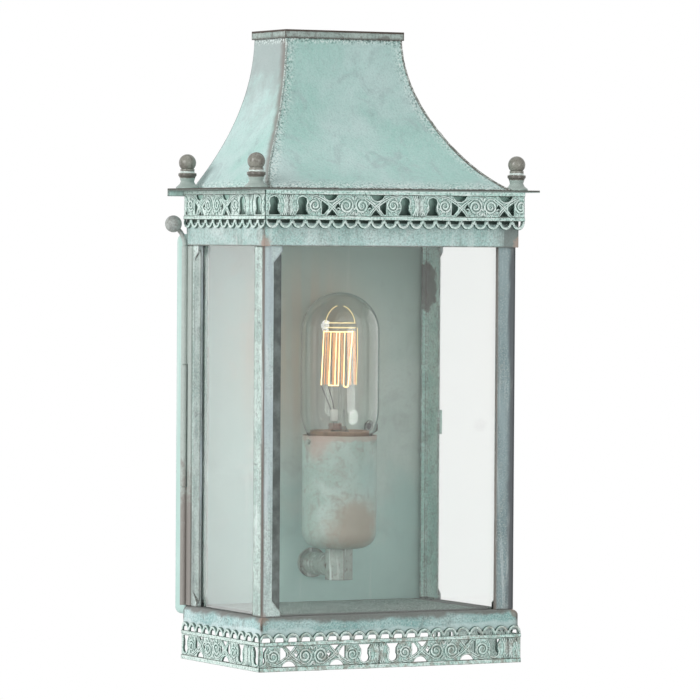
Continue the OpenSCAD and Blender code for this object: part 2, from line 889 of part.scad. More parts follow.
// Clips in pairs at both ends of a pane, at its foot and at its head
module clip_row(half) {
    for (s = [-1, 1]) translate([s * (half - clip_w / 2), 0, 0]) {
        translate([0, 0, z_floor]) clip_low();
        translate([0, 0, z_eave]) mirror([0, 0, 1]) clip_low();
    }
}

// The clips stand behind the posts, clear of one another in the corners
module glazing_clips() {
    front = y_front + post_t + glass_t;
    side = x_post - post_t - glass_t;
    mid_y = (y_front + y_rear) / 2;
    color(BRASS) {
        translate([0, front, 0]) clip_row(side - clip_t);
        translate([-side, mid_y, 0]) rotate([0, 0, -90]) clip_row(case_d / 2 - post_t - clip_leg - glass_t);
        translate([side, mid_y, 0]) rotate([0, 0, 90]) clip_row(case_d / 2 - post_t - clip_leg - glass_t);
    }
}

// Top rail

module top_rail_front() {
    half = x_post + sheet_t;
    color(MINT) translate([-half, y_front - sheet_t, z_head]) cube([2 * half, sheet_t, head_h]);
}

module top_rail_left() {
    color(PALE) translate([-x_post - sheet_t, y_front, z_head]) cube([sheet_t, case_d, head_h]);
}

module top_rail_rear() {
    half = x_post - post_back;
    color(MINT) translate([-half, y_rear - sheet_t, z_head]) cube([2 * half, sheet_t, head_h]);
}

// Eave, roof and cap

finial_x = x_post + finial_side;
finial_y = [y_front + finial_front, y_rear - finial_back];
peg_r = 1.2;

module eave_plate() {
    vent = 24;
    color(MINT) difference() {
        union() {
            translate([-x_eave, y_eave, z_eave]) cube([2 * x_eave, y_back - y_eave, eave_t]);
            translate([-x_eave, y_back - sheet_t, z_eave - eave_drip]) {
                cube([2 * x_eave, sheet_t, eave_drip + eave_t]);
            }
        }
        translate([-x_post + vent, y_front + vent, z_eave - past]) {
            cube([case_w - 2 * vent, case_d - 2 * vent, eave_t + 2 * past]);
        }
        for (s = [-1, 1], y = finial_y) {
            translate([s * finial_x, y, z_eave - past]) cylinder(r = peg_r + 0.05, h = eave_t + 2 * past);
        }
    }
}

roof_front = y_eave + roof_set;
roof_depth = y_back - roof_front;

// Half width and depth of the roof at t, which is 0 at the neck and 1 at the eave
function roof_half(t) = let (grow = roof_w / 2 - neck_w / 2) neck_w / 2 + grow * (0.06 * t + 0.94 * t * t);
function roof_reach(t) = let (grow = roof_depth - neck_d - roof_kick)
    neck_d + grow * (0.04 * t + 0.96 * t * t) + roof_kick * pow(t, 12);

// Polygon of one concave side, moved in by the sheet's thickness for the inside
function roof_points(inset, rise) = [
    for (i = [0 : roof_steps]) let (t = i / roof_steps) [roof_half(t) - inset, z_neck - t * roof_h - rise]
];
function reach_points(inset, rise) = [
    for (i = [0 : roof_steps]) let (t = i / roof_steps) [roof_reach(t) - inset, z_neck - t * roof_h - rise]
];
function flipped(points) = [for (i = [len(points) - 1 : -1 : 0]) [-points[i][0], points[i][1]]];

// Solid roof form: the side view's outline crossed with the front view's
module roof_form(inset, rise, neck_top) {
    right = roof_points(inset, rise);
    reach = reach_points(inset, rise);
    low = z_roof - rise;
    intersection() {
        rotate([90, 0, 0]) translate([0, 0, -y_back - past]) linear_extrude(roof_depth + 2 * past) {
            polygon(concat([[neck_w / 2 - inset, neck_top]], right, flipped(right),
                [[-neck_w / 2 + inset, neck_top]]));
        }
        translate([-x_post, y_back, 0]) rotate([90, 0, 90]) linear_extrude(case_w) {
            polygon(concat([[-inset, low], [-inset, neck_top], [inset - neck_d, neck_top]],
                [for (p = reach) [-p[0], p[1]]]));
        }
    }
}

module roof_shell() {
    color(MINT) difference() {
        roof_form(0, 0, z_cap - cap_t);
        roof_form(roof_t, roof_t, z_cap);
    }
}

module roof_cap() {
    half = neck_w / 2 + cap_out;
    depth = neck_d + 2 * cap_out;
    color(PALE) translate([-half, y_back + cap_out - depth, z_neck]) difference() {
        cube([2 * half, depth, cap_h]);
        translate([cap_t, cap_t, -past]) {
            cube([2 * (half - cap_t), depth - 2 * cap_t, cap_h - cap_t + past]);
        }
    }
}

// Turned finial with a flared foot, a waisted drum, a collar and a ball on a short neck
module finial(side, y) {
    foot = foot_d / 2;
    collar = 0.4 * foot_d;
    neck = 0.31 * foot_d;
    drum_h = 7.2;
    neck_h = 11;
    color(BARE) translate([side * finial_x, y, z_roof]) {
        rotate_extrude() polygon([
            [0, 0], [foot, 0], [foot, 0.8], [foot - 1.9, 2.4], [foot - 2.7, 3.9],
            [collar - 0.6, drum_h - 0.6], [collar, drum_h], [collar, drum_h + 1.3],
            [neck, drum_h + 1.9], [neck, neck_h], [0, neck_h]
        ]);
        translate([0, 0, neck_h + 0.36 * ball_d]) sphere(r = ball_d / 2);
        translate([0, 0, -eave_t]) cylinder(r = peg_r, h = eave_t + past);
    }
}

back_box();
wall_bracket();
bracket_screws();
terminal_block();
hinge_leaf_fixed();
catch_spring();
catch_rivets();
arm_collar();
lamp_arm();
arm_nut();
arm_coupling();
cup_nipple();
lamp_cup();
lampholder();
bulb_cap();
bulb_glass();
bulb_stem();
filament();
filament_wires();
hinge_leaf_moving();
hinge_pin();
floor_plate();
base_rail_front();
base_rail_left();
on_right() base_rail_left();  // base_rail_right
base_rail_rear();
lower_gallery_front();
lower_gallery_left();
on_right() lower_gallery_left();  // lower_gallery_right
post_front_left();
on_right() post_front_left();  // post_front_right
post_rear_left();
on_right() post_rear_left();  // post_rear_right
glass_front();
glass_left();
on_right() glass_left();  // glass_right
glazing_clips();
top_rail_front();
top_rail_left();
on_right() top_rail_left();  // top_rail_right
top_rail_rear();
upper_gallery_front();
upper_gallery_left();
on_right() upper_gallery_left();  // upper_gallery_right
eave_plate();
roof_shell();
roof_cap();
finial(-1, finial_y[0]);  // finial_front_left
finial(1, finial_y[0]);  // finial_front_right
finial(-1, finial_y[1]);  // finial_rear_left
finial(1, finial_y[1]);  // finial_rear_right
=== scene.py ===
import math

import bmesh
import bpy
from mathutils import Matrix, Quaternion, Vector, noise


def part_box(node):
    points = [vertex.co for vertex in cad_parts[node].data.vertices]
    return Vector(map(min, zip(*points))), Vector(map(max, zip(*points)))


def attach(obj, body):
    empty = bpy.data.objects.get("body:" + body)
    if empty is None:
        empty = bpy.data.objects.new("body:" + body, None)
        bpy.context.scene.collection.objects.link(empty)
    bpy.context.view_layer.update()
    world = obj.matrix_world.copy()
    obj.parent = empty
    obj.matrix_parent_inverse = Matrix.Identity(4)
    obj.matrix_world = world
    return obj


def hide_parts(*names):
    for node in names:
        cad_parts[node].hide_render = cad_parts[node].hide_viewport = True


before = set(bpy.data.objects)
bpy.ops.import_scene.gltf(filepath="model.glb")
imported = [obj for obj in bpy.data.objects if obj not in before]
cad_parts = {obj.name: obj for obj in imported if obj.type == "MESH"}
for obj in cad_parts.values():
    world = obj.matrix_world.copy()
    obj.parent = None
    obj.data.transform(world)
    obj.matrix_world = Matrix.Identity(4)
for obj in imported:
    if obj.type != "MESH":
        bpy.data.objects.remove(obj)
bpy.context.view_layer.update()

# Camera: a long lens at the lantern's left front, a little above its middle and looking slightly
# down, with the small lean of the picture.
target = Vector((-0.00161, -0.064, 0.04322))
yaw, pitch, lean = math.radians(27.741), math.radians(1.296), math.radians(0.366)
away = 2.7359
ahead = Vector((math.sin(yaw) * math.cos(pitch), math.cos(yaw) * math.cos(pitch), -math.sin(pitch)))
bpy.ops.object.camera_add(location=target - away * ahead)
camera = bpy.context.object
camera.rotation_mode = "QUATERNION"
camera.rotation_quaternion = ahead.to_track_quat("-Z", "Y") @ Quaternion((0, 0, 1), lean)
film_wide, picture_px, focal_px = 36, 700, 4834.33
camera.data.sensor_width = film_wide
camera.data.lens = focal_px * film_wide / picture_px
camera.data.clip_end = 60
bpy.context.scene.camera = camera

# Studio: a white room that lights evenly, one large soft lamp at the left, weaker ones in front and
# above, a bright card at the back that the side pane mirrors, and a pale floor well below.
bpy.context.scene.view_settings.view_transform = "Standard"
room = bpy.data.worlds.new("studio room")
bpy.context.scene.world = room
room.use_nodes = True
links = room.node_tree.links
nodes = room.node_tree.nodes
back = nodes["Background"]
rays = nodes.new("ShaderNodeLightPath")
seen = nodes.new("ShaderNodeMath")
seen.operation = "MAXIMUM"
links.new(rays.outputs["Is Camera Ray"], seen.inputs[0])
links.new(rays.outputs["Is Transmission Ray"], seen.inputs[1])
mirrored = nodes.new("ShaderNodeMath")
mirrored.operation = "MAXIMUM"
links.new(seen.outputs[0], mirrored.inputs[0])
links.new(rays.outputs["Is Glossy Ray"], mirrored.inputs[1])
level = nodes.new("ShaderNodeMapRange")
level.inputs["To Min"].default_value = 0.42  # on the lantern; what it shows or mirrors is white
level.inputs["To Max"].default_value = 1.0
links.new(mirrored.outputs[0], level.inputs["Value"])
links.new(level.outputs[0], back.inputs["Strength"])
back.inputs["Color"].default_value = (1, 1, 1, 1)
for name, place, size, watts in (
    ("key lamp", (-2.6, -0.9, 0.9), 1.6, 50),
    ("front lamp", (0.25, -2.6, 0.15), 1.2, 13),
    ("top lamp", (0.1, -0.3, 2.2), 1.2, 5),
    ("left card", (-1.35, 2.3, 0.05), 1.8, 8),
):
    bpy.ops.object.light_add(type="AREA", location=place)
    lamp = bpy.context.object
    lamp.name = name
    lamp.data.shape = "DISK"
    lamp.data.size = size
    lamp.data.energy = watts
    lamp.rotation_euler = (Vector((0, -0.06, 0.03)) - Vector(place)).to_track_quat("-Z", "Y").to_euler()
bpy.ops.object.select_all(action="DESELECT")
bpy.ops.mesh.primitive_circle_add(vertices=96, radius=3.2, fill_type="NGON", location=(0, 0, -0.62))
floor = bpy.context.object
floor.name = "studio_floor"
floor_paint = bpy.data.materials.new("floor paint")
floor_paint.use_nodes = True
paint = floor_paint.node_tree.nodes["Principled BSDF"].inputs
paint["Base Color"].default_value = (0.86, 0.86, 0.86, 1)
paint["Roughness"].default_value = 0.9
floor.data.materials.append(floor_paint)


# Roof: one sheet of brass bent to a hollow curve on three sides, soldered along its hips, with a
# flat back. Its patina is the pattern for the whole case: cloudy verdigris with a fine crust,
# grey where it is thin, and brown bare metal on the edges.
def tone(text):
    """Colour of a paint chip, such as b3d0c6, as the shader wants it."""
    parts = [int(text[i:i + 2], 16) / 255 for i in (0, 2, 4)]
    return tuple(part / 12.92 if part < 0.04045 else ((part + 0.055) / 1.055) ** 2.4 for part in parts) + (1,)


def add_node(tree, kind, **settings):
    """A new node with its settings, such as its operation."""
    node = tree.nodes.new(kind)
    for key, value in settings.items():
        setattr(node, key, value)
    return node


def feed(tree, node, **given):
    """Links or sets a node's inputs by name, or by number as in _0, and gives the node back."""
    for key, value in given.items():
        socket = node.inputs[int(key[1:])] if key[0] == "_" else node.inputs[key.replace("_", " ")]
        if isinstance(value, bpy.types.NodeSocket):
            tree.links.new(value, socket)
        else:
            socket.default_value = value
    return node


def sums(tree, operation, a, b=0.0, c=0.0, clamp=False):
    """One step of arithmetic."""
    node = add_node(tree, "ShaderNodeMath", operation=operation, use_clamp=clamp)
    return feed(tree, node, _0=a, _1=b, _2=c).outputs[0]


def times(tree, *masks):
    """Product of masks, so that each one limits the others."""
    product = masks[0]
    for mask in masks[1:]:
        product = sums(tree, "MULTIPLY", product, mask)
    return product


def ragged(tree, value, grain, by, about=0.0):
    """A value that a grain makes uneven, so that the border drawn from it isn't straight."""
    if about:
        grain = sums(tree, "SUBTRACT", grain, about)
    return sums(tree, "MULTIPLY_ADD", grain, by, value)


def blendin(tree, amount, under, over, mode="MIX"):
    """Lays a colour over another one where the amount says so."""
    node = add_node(tree, "ShaderNodeMix", data_type="RGBA", blend_type=mode)
    return feed(tree, node, _0=amount, _6=under, _7=over).outputs[2]


def ramp(tree, value, low, high, to_low=0.0, to_high=1.0):
    """Fades softly from one amount to another while the value goes from low to high."""
    node = add_node(tree, "ShaderNodeMapRange", interpolation_type="SMOOTHSTEP")
    feed(tree, node, Value=value, From_Min=low, From_Max=high, To_Min=to_low, To_Max=to_high)
    return node.outputs[0]


def cloud(tree, vector, per_mm, detail=4.0, rough=0.5, twist=0.0):
    """Uneven spots from 0 to 1, so many to the mm."""
    node = add_node(tree, "ShaderNodeTexNoise")
    feed(tree, node, Vector=vector, Scale=per_mm * 1000, Detail=detail, Roughness=rough, Distortion=twist)
    return node.outputs["Fac"]


def drawn_out(tree, vector, scale):
    """A pattern's place, drawn out along each axis whose scale is small."""
    return feed(tree, add_node(tree, "ShaderNodeMapping"), Vector=vector, Scale=scale).outputs[0]


def surface(tree, kind="Object"):
    """A surface point's place, or its normal."""
    return add_node(tree, "ShaderNodeTexCoord").outputs[kind]


def split(tree, kind="Object"):
    """The three parts of a surface point's place, or of its normal."""
    return feed(tree, add_node(tree, "ShaderNodeSeparateXYZ"), _0=surface(tree, kind)).outputs


def shared_effect(name, takes, gives):
    """A node group, with what it takes in and what it gives out."""
    group = bpy.data.node_groups.new(name, "ShaderNodeTree")
    for label, kind, start in takes:
        item = group.interface.new_socket(name=label, in_out="INPUT", socket_type="NodeSocket" + kind)
        if start is not None:
            item.default_value = start
    for label, kind in gives:
        group.interface.new_socket(name=label, in_out="OUTPUT", socket_type="NodeSocket" + kind)
    return group, group.nodes.new("NodeGroupInput").outputs, group.nodes.new("NodeGroupOutput").inputs


verdigris, take, give = shared_effect(
    "verdigris",
    (("Vector", "Vector", None), ("Pale", "Color", (0.6, 0.75, 0.7, 1)),
     ("Deep", "Color", (0.4, 0.6, 0.55, 1)), ("Grey", "Color", (0.4, 0.43, 0.42, 1)),
     ("Clouds per mm", "Float", 0.03), ("Thin", "Float", 0.4), ("Crust", "Float", 0.5)),
    (("Color", "Color"), ("Height", "Float")))
sized = add_node(verdigris, "ShaderNodeVectorMath", operation="SCALE")
feed(verdigris, sized, Vector=take["Vector"], Scale=take["Clouds per mm"])
broad = cloud(verdigris, sized.outputs[0], 1.0, 3.0, 0.55, 0.4)
patchy = cloud(verdigris, sized.outputs[0], 2.7, 6.0, 0.62, 0.9)
crust = cloud(verdigris, take["Vector"], 0.8, 3.0, 0.6)
flecks = cloud(verdigris, take["Vector"], 0.55, 5.0, 0.7, 0.5)
streaks = cloud(verdigris, drawn_out(verdigris, take["Vector"], (1, 1, 0.1)), 0.35, 3.0, 0.5)
mint = blendin(verdigris, ramp(verdigris, broad, 0.35, 0.65), take["Deep"], take["Pale"])
thin = times(verdigris, ramp(verdigris, patchy, 0.5, 0.68), take["Thin"])
mint = blendin(verdigris, thin, mint, take["Grey"])
pale = times(verdigris, ramp(verdigris, flecks, 0.55, 0.75), take["Crust"])
mint = blendin(verdigris, pale, mint, tone("dfeae6"))
dusk = times(verdigris, ramp(verdigris, crust, 0.38, 0.5, 1, 0), take["Crust"])
mint = blendin(verdigris, dusk, mint, take["Grey"])
mint = blendin(verdigris, ramp(verdigris, streaks, 0.35, 0.7, 0.0, 0.22), mint, take["Pale"])
verdigris.links.new(mint, give["Color"])
lumps = sums(verdigris, "ADD", times(verdigris, crust, 0.7), times(verdigris, flecks, 0.6))
verdigris.links.new(lumps, give["Height"])

rubbed, take, give = shared_effect(
    "rubbed edges", (("Vector", "Vector", None), ("Reach", "Float", 0.0012), ("Amount", "Float", 0.5)),
    (("Mask", "Float"), ("Normal", "Vector")))
rounding = feed(rubbed, add_node(rubbed, "ShaderNodeBevel", samples=6), Radius=take["Reach"])
flat = add_node(rubbed, "ShaderNodeNewGeometry")
agree = add_node(rubbed, "ShaderNodeVectorMath", operation="DOT_PRODUCT")
feed(rubbed, agree, _0=rounding.outputs[0], _1=flat.outputs["Normal"])
turned = ramp(rubbed, agree.outputs["Value"], 0.998, 0.9)
worn = cloud(rubbed, take["Vector"], 0.16, 6.0, 0.7, 0.6)
worn = sums(rubbed, "ADD", worn, times(rubbed, take["Amount"], 0.5))
mask = sums(rubbed, "MULTIPLY", turned, ramp(rubbed, worn, 0.55, 0.8), clamp=True)
rubbed.links.new(mask, give["Mask"])
soft = feed(rubbed, add_node(rubbed, "ShaderNodeBevel", samples=4), Radius=0.0003)
rubbed.links.new(soft.outputs[0], give["Normal"])


def patina(name, pale, deep, grey, bare="574f48", clouds=0.03, thin=0.4, crust=0.5, wear=0.5, reach=1.2,
           bump=0.2, rough=0.82, corner_dirt_and_shade=0.0, speck=0.0):
    """Verdigris over brass, rubbed through to the bare metal on its edges, and, where asked, dark brown in
    its corners as dirt and painted shade.
    """
    made = bpy.data.materials.new(name)
    made.use_nodes = True
    tree = made.node_tree
    shader = tree.nodes["Principled BSDF"]
    place = surface(tree)
    skin = add_node(tree, "ShaderNodeGroup", node_tree=verdigris)
    feed(tree, skin, Vector=place, Pale=tone(pale), Deep=tone(deep), Grey=tone(grey), Thin=thin, Crust=crust,
         Clouds_per_mm=clouds)
    edge = add_node(tree, "ShaderNodeGroup", node_tree=rubbed)
    feed(tree, edge, Vector=place, Reach=reach / 1000, Amount=wear)
    colour = skin.outputs["Color"]
    if speck:
        grain = cloud(tree, place, 1.05, 2.5, 0.65)
        colour = blendin(tree, ramp(tree, grain, 0.5, 0.62, 0.0, speck), colour, tone("eef7f3"))
        colour = blendin(tree, ramp(tree, grain, 0.46, 0.36, 0.0, speck), colour, tone("50665f"))
    colour = blendin(tree, edge.outputs["Mask"], colour, tone(bare))
    if corner_dirt_and_shade:
        # dark brown where ambient occlusion finds corners and creases: dirt, and painted shade
        corners = feed(tree, add_node(tree, "ShaderNodeAmbientOcclusion", samples=6), Distance=0.0016)
        dirt_and_shade_in_corners = ramp(tree, corners.outputs["AO"], 0.75, 0.25, 0.0, corner_dirt_and_shade)
        colour = blendin(tree, dirt_and_shade_in_corners, colour, tone("3f3a34"))
    relief = add_node(tree, "ShaderNodeBump")
    feed(tree, relief, Strength=0.6, Distance=bump / 1000, Height=skin.outputs["Height"],
         Normal=edge.outputs["Normal"])
    feed(tree, shader, Base_Color=colour, Normal=relief.outputs[0], Roughness=rough, Metallic=0.0,
         Specular_IOR_Level=0.35)
    return made


def coloured(made):
    """Tree, shader and present colour of a material that is painted further."""
    tree = made.node_tree
    shader = tree.nodes["Principled BSDF"]
    return tree, shader, shader.inputs["Base Color"].links[0].from_socket


def fresh(primitive, **given):
    """A new primitive, with nothing else selected."""
    bpy.ops.object.select_all(action="DESELECT")
    primitive(**given)
    return bpy.context.object


def finish_piece(piece, name, made, body="case"):
    """Names a new piece, puts its place into its mesh, and hangs it on its body."""
    piece.name = name
    bpy.ops.object.select_all(action="DESELECT")
    piece.select_set(True)
    bpy.context.view_layer.objects.active = piece
    bpy.ops.object.transform_apply(location=True, rotation=True, scale=True)
    piece.data.materials.clear()
    piece.data.materials.append(made)
    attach(piece, body)


roof_low, roof_high = (Vector(v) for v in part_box("roof_shell"))
cap_low, cap_high = (Vector(v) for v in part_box("roof_cap"))
neck_half, neck_deep = 0.0368, 0.0403
lip_deep, lip_power = 0.012, 12
straight_x, hollow_x = 0.06, 0.94
straight_y, hollow_y = 0.04, 0.96
roof_top, roof_foot = cap_low.z, roof_low.z
flare_x = roof_high.x - neck_half
flare_y = roof_high.y - roof_low.y - neck_deep - lip_deep


def hollow(t):
    """Half width and depth of the roof at t, from 0 under the cap to 1 on the eave."""
    half = neck_half + flare_x * (straight_x * t + hollow_x * t * t)
    return half, neck_deep + flare_y * (straight_y * t + hollow_y * t * t) + lip_deep * t ** lip_power


roof = fresh(bpy.ops.mesh.primitive_cube_add, size=1)
bpy.ops.object.mode_set(mode="EDIT")
bpy.ops.mesh.select_all(action="SELECT")
bpy.ops.mesh.subdivide(number_cuts=47)
bpy.ops.object.mode_set(mode="OBJECT")
for point in roof.data.vertices:
    x, y, z = point.co * 2
    t = (1 - z) / 2
    half, deep = hollow(t)
    place = Vector((x * half, roof_high.y - (1 - y) / 2 * deep, roof_top + (roof_foot - roof_top) * t))
    dent = noise.noise(place * 38) * 0.00035 + noise.noise(place * 110) * 0.00012
    side = min(1, 6 * (1 - abs(x))) if abs(y) == 1 else min(1, 6 * (1 - abs(y)))
    if abs(x) == 1:
        place.x += x * dent * side
    if y == -1:
        place.y -= dent * side
    point.co = place
bpy.ops.object.mode_set(mode="EDIT")
bpy.ops.mesh.select_all(action="SELECT")
bpy.ops.mesh.normals_make_consistent(inside=False)
bpy.ops.object.mode_set(mode="OBJECT")
bpy.ops.object.shade_smooth_by_angle(angle=math.radians(50))
roof_patina = patina("roof patina", "c6dedb", "acd3cb", "a3b6b6", "574f49", clouds=0.022, thin=0.55,
                     crust=0.22, wear=0.5, reach=1.6, bump=0.45, speck=0.1)
tree, shader, colour = coloured(roof_patina)
place, spot = surface(tree), split(tree)
fall = sums(tree, "DIVIDE", sums(tree, "SUBTRACT", roof_top, spot[2]), roof_top - roof_foot, clamp=True)
fall2 = times(tree, fall, fall)
half = sums(tree, "ADD", sums(tree, "MULTIPLY_ADD", fall, straight_x * flare_x, neck_half),
            times(tree, fall2, hollow_x * flare_x))
deep = sums(tree, "ADD", sums(tree, "MULTIPLY_ADD", fall, straight_y * flare_y, neck_deep),
            times(tree, fall2, hollow_y * flare_y))
deep = sums(tree, "ADD", deep, times(tree, sums(tree, "POWER", fall, lip_power), lip_deep))
from_side = sums(tree, "SUBTRACT", half, sums(tree, "ABSOLUTE", spot[0]))
from_side = sums(tree, "MAXIMUM", from_side, 0.0)
from_front = sums(tree, "SUBTRACT", spot[1], sums(tree, "SUBTRACT", roof_high.y, deep))
from_front = sums(tree, "MAXIMUM", from_front, 0.0)
on_side = ramp(tree, from_front, 0.0005, 0.0012)
on_front = ramp(tree, on_side, 1.0, 0.0)
on_left = times(tree, ramp(tree, spot[0], 0.0, -0.001), ramp(tree, from_side, 0.0025, 0.0012))
wobble = cloud(tree, place, 0.09, 4.0, 0.6)
fine = cloud(tree, place, 0.9, 3.0, 0.7)
# grey towards the top of the left side
upper = times(tree, ramp(tree, ragged(tree, fall, wobble, 0.9, 0.5), 0.62, 0.12), on_side, on_left, 0.75)
colour = blendin(tree, upper, colour, tone("a5adac"))
# brown band beside the hip on the left side
band = ramp(tree, ragged(tree, from_front, wobble, 0.005, 0.5), 0.0085, 0.0020)
colour = blendin(tree, times(tree, band, on_side, on_left, 0.8), colour, tone("857d78"))
# speckled crust beside the hips on the front, and along the cap and the eave
near = times(tree, ramp(tree, ragged(tree, from_side, wobble, -0.006, 0.5), 0.0090, 0.001), on_front)
ends = sums(tree, "MAXIMUM", ramp(tree, fall, 0.05, 0.01), ramp(tree, fall, 0.93, 0.985))
crusty = sums(tree, "MAXIMUM", near, ends, clamp=True)
colour = blendin(tree, times(tree, crusty, ramp(tree, fine, 0.5, 0.6)), colour, tone("e9f3ef"))
colour = blendin(tree, times(tree, crusty, ramp(tree, fine, 0.44, 0.37, 0.0, 0.85)), colour, tone("5f6c67"))
# bare metal along the right hip, wider towards its foot
bare = ramp(tree, sums(tree, "MULTIPLY_ADD", fall, -0.0016, from_side), 0.0009, -0.0002)
bare = times(tree, bare, ramp(tree, spot[0], 0.0, 0.001), ramp(tree, from_front, 0.0016, 0.0006),
             ramp(tree, wobble, 0.3, 0.5, 0.35, 0.95))
colour = blendin(tree, bare, colour, tone("5d5650"))
# the front a shade darker towards its top
front = times(tree, ramp(tree, fall, 0.85, 0.45), on_front)
colour = blendin(tree, front, colour, (0.85, 0.875, 0.87, 1), "MULTIPLY")
feed(tree, shader, Base_Color=colour)
finish_piece(roof, "roof_curved_sheet", roof_patina)
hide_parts("roof_shell")


# Hip seams: the soldered corners of the roof. Each is a thin bead of solder, wavy by hand, from the
# cap to the eave, pale at the left and rubbed brown at the right.
def empty_curve(depth, fine):
    """A curve with a round section and no runs yet."""
    curve = fresh(bpy.ops.curve.primitive_bezier_curve_add)
    curve.data.splines.clear()
    curve.data.bevel_depth = depth
    curve.data.bevel_resolution = fine
    curve.data.use_fill_caps = True
    return curve


def add_run(curve, points, radii=()):
    """Adds a run through the points, with its thickness at each of them."""
    run = curve.data.splines.new("POLY")
    run.points.add(len(points) - 1)
    for spot, point in zip(run.points, points):
        spot.co = (*point, 1)
    for spot, radius in zip(run.points, radii):
        spot.radius = radius


seam_steps, seam_inset = 40, 0.0001
for side, name, pale, deep, grey in (
    (-1, "hip_seam_left", "b9cbc6", "92a5a0", "6f6d68"), (1, "hip_seam_right", "8a8c86", "6f6c66", "5a534d"),
):
    bead = empty_curve(0.00055, 2)
    points, radii = [], []
    for i in range(seam_steps + 1):
        t = i / seam_steps
        half_width, depth = hollow(t)
        wave = noise.noise(Vector((side * 3, i * 0.9, 0))) * 0.00022
        points.append((side * (half_width - seam_inset + wave), roof_high.y - depth + seam_inset - wave,
                       roof_top + (roof_foot - roof_top) * t))
        radii.append(1 + 0.35 * noise.noise(Vector((side, i * 1.7, 5))))
    add_run(bead, points, radii)
    bpy.ops.object.convert(target="MESH")
    bpy.ops.object.shade_smooth()
    seam_patina = patina(name + " patina", pale, deep, grey, "5d554f", clouds=0.2, thin=0.9, wear=1.0,
                         reach=0.6, speck=0.6)
    finish_piece(bead, name, seam_patina)

# Cap and eave: flat brass sheets with folded edges, soldered over the roof's neck and under its foot.
# They are greyer than the roof, with a dark bare rim. The eave's front faces are painted lighter, as
# light on them, and its underside brown grey, as shade.
eave_low, eave_high = (Vector(v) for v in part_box("eave_plate"))
cap_patina = patina("cap patina", "b0bdb7", "97a9a3", "767a75", "514943", clouds=0.06, thin=0.9, crust=0.6,
                    wear=1.0, reach=2.2)
eave_patina = patina("eave patina", "bcd6d0", "a8ccc5", "7f8783", "4c443e", clouds=0.05, thin=0.6,
                     crust=0.8, wear=1.3, reach=1.6)


def plate_rim(tree, low, high, width=0.0010):
    """Mask of the strip of a plate along its outer edge."""
    spot = split(tree)
    deep = sums(tree, "ABSOLUTE", sums(tree, "SUBTRACT", spot[1], (low.y + high.y) / 2))
    out = sums(tree, "MAXIMUM", sums(tree, "SUBTRACT", sums(tree, "ABSOLUTE", spot[0]), high.x - width),
               sums(tree, "SUBTRACT", deep, (high.y - low.y) / 2 - width))
    return ramp(tree, out, -0.0003, 0.0003)


def dress(made, *names):
    """Gives solids of the frame their material."""
    for each in names:
        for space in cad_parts[each].material_slots:
            space.material = made


tree, shader, colour = coloured(cap_patina)
rim = ragged(tree, split(tree)[2], cloud(tree, surface(tree), 0.2, 4.0, 0.6), 0.0009)
rim = times(tree, ramp(tree, rim, cap_high.z - 0.0009, cap_high.z - 0.0004),
            plate_rim(tree, cap_low, cap_high))
feed(tree, shader, Base_Color=blendin(tree, rim, colour, tone("4d433d")))
tree, shader, colour = coloured(eave_patina)
facing = split(tree, "Normal")
# painted light: the eave's front faces lighter
colour = blendin(tree, ramp(tree, facing[1], -0.5, -0.8, 0.0, 0.45), colour, tone("c4ddd7"))
rim = times(tree, ramp(tree, split(tree)[2], eave_high.z - 0.0010, eave_high.z - 0.0007, 0.0, 0.9),
            plate_rim(tree, eave_low, eave_high))
colour = blendin(tree, rim, colour, tone("4a4540"))
# painted shade: the eave's faces that look down are brown grey
colour = blendin(tree, ramp(tree, facing[2], -0.3, -0.6, 0.0, 0.45), colour, tone("86817c"))
feed(tree, shader, Base_Color=colour)
dress(cap_patina, "roof_cap")
dress(eave_patina, "eave_plate")

# Finials: solid brass balls turned in one with waisted drums, and riveted in the eave. The balls
# are brown and rubbed, the drums keep some verdigris, and their grooves are pale.
ball_patina = patina("finial patina", "8b8b82", "6f6d65", "5c5750", "9a9d92", clouds=0.1, thin=0.8,
                     crust=0.2, wear=0.5, reach=1.0, bump=0.04, rough=0.24, corner_dirt_and_shade=0.6)
tree, shader, colour = coloured(ball_patina)
below_top = sums(tree, "SUBTRACT", split(tree)[2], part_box("finial_front_left")[1][2] + 0.0006)
below_top = ragged(tree, below_top, cloud(tree, surface(tree), 0.3, 3.0, 0.6), 0.0012)
border = 0.0003
for low, high, part, paint in ((-0.0230, -0.0136, 0.75, "a9bab4"), (-0.0134, -0.0110, 0.85, "5b5650"),
                               (-0.0106, -0.0097, 0.9, "dbe7e3")):
    strip = times(tree, ramp(tree, below_top, low - border, low + border),
                  ramp(tree, below_top, high + border, high - border), part)
    colour = blendin(tree, strip, colour, tone(paint))
feed(tree, shader, Base_Color=colour)
dress(ball_patina, "finial_front_left", "finial_front_right", "finial_rear_left", "finial_rear_right")


# Galleries: cast strips with an open frieze and a row of little arches, the heaviest verdigris of
# all. The strips are the solids; their scrolls, leaves and arch rings stand on them in relief. What
# faces aside in them, the walls of the openings and the sides of the strokes, is painted dark as
# shade, and the side strips are painted paler than the front ones, as the light on them.
def paint_side_shade_and_wear(made, axis, painted_shade, low, high):
    """Paints shade on what doesn't face out of the strip, and rubs the lower front strip brown."""
    tree, shader, colour = coloured(made)
    worn = ramp(tree, cloud(tree, surface(tree), 0.22, 4.0, 0.7, 0.4), 0.46, 0.62, 0.0, 0.05 + 0.55 * axis)
    worn = times(tree, worn, ramp(tree, split(tree)[2], 0.0, -0.01))
    colour = blendin(tree, worn, colour, tone("8d8378"))
    # painted shade on what faces aside; what faces out keeps its colour
    out = sums(tree, "ABSOLUTE", split(tree, "Normal")[axis])
    feed(tree, shader, Base_Color=blendin(tree, ramp(tree, out, low, high), tone(painted_shade), colour))
    return made


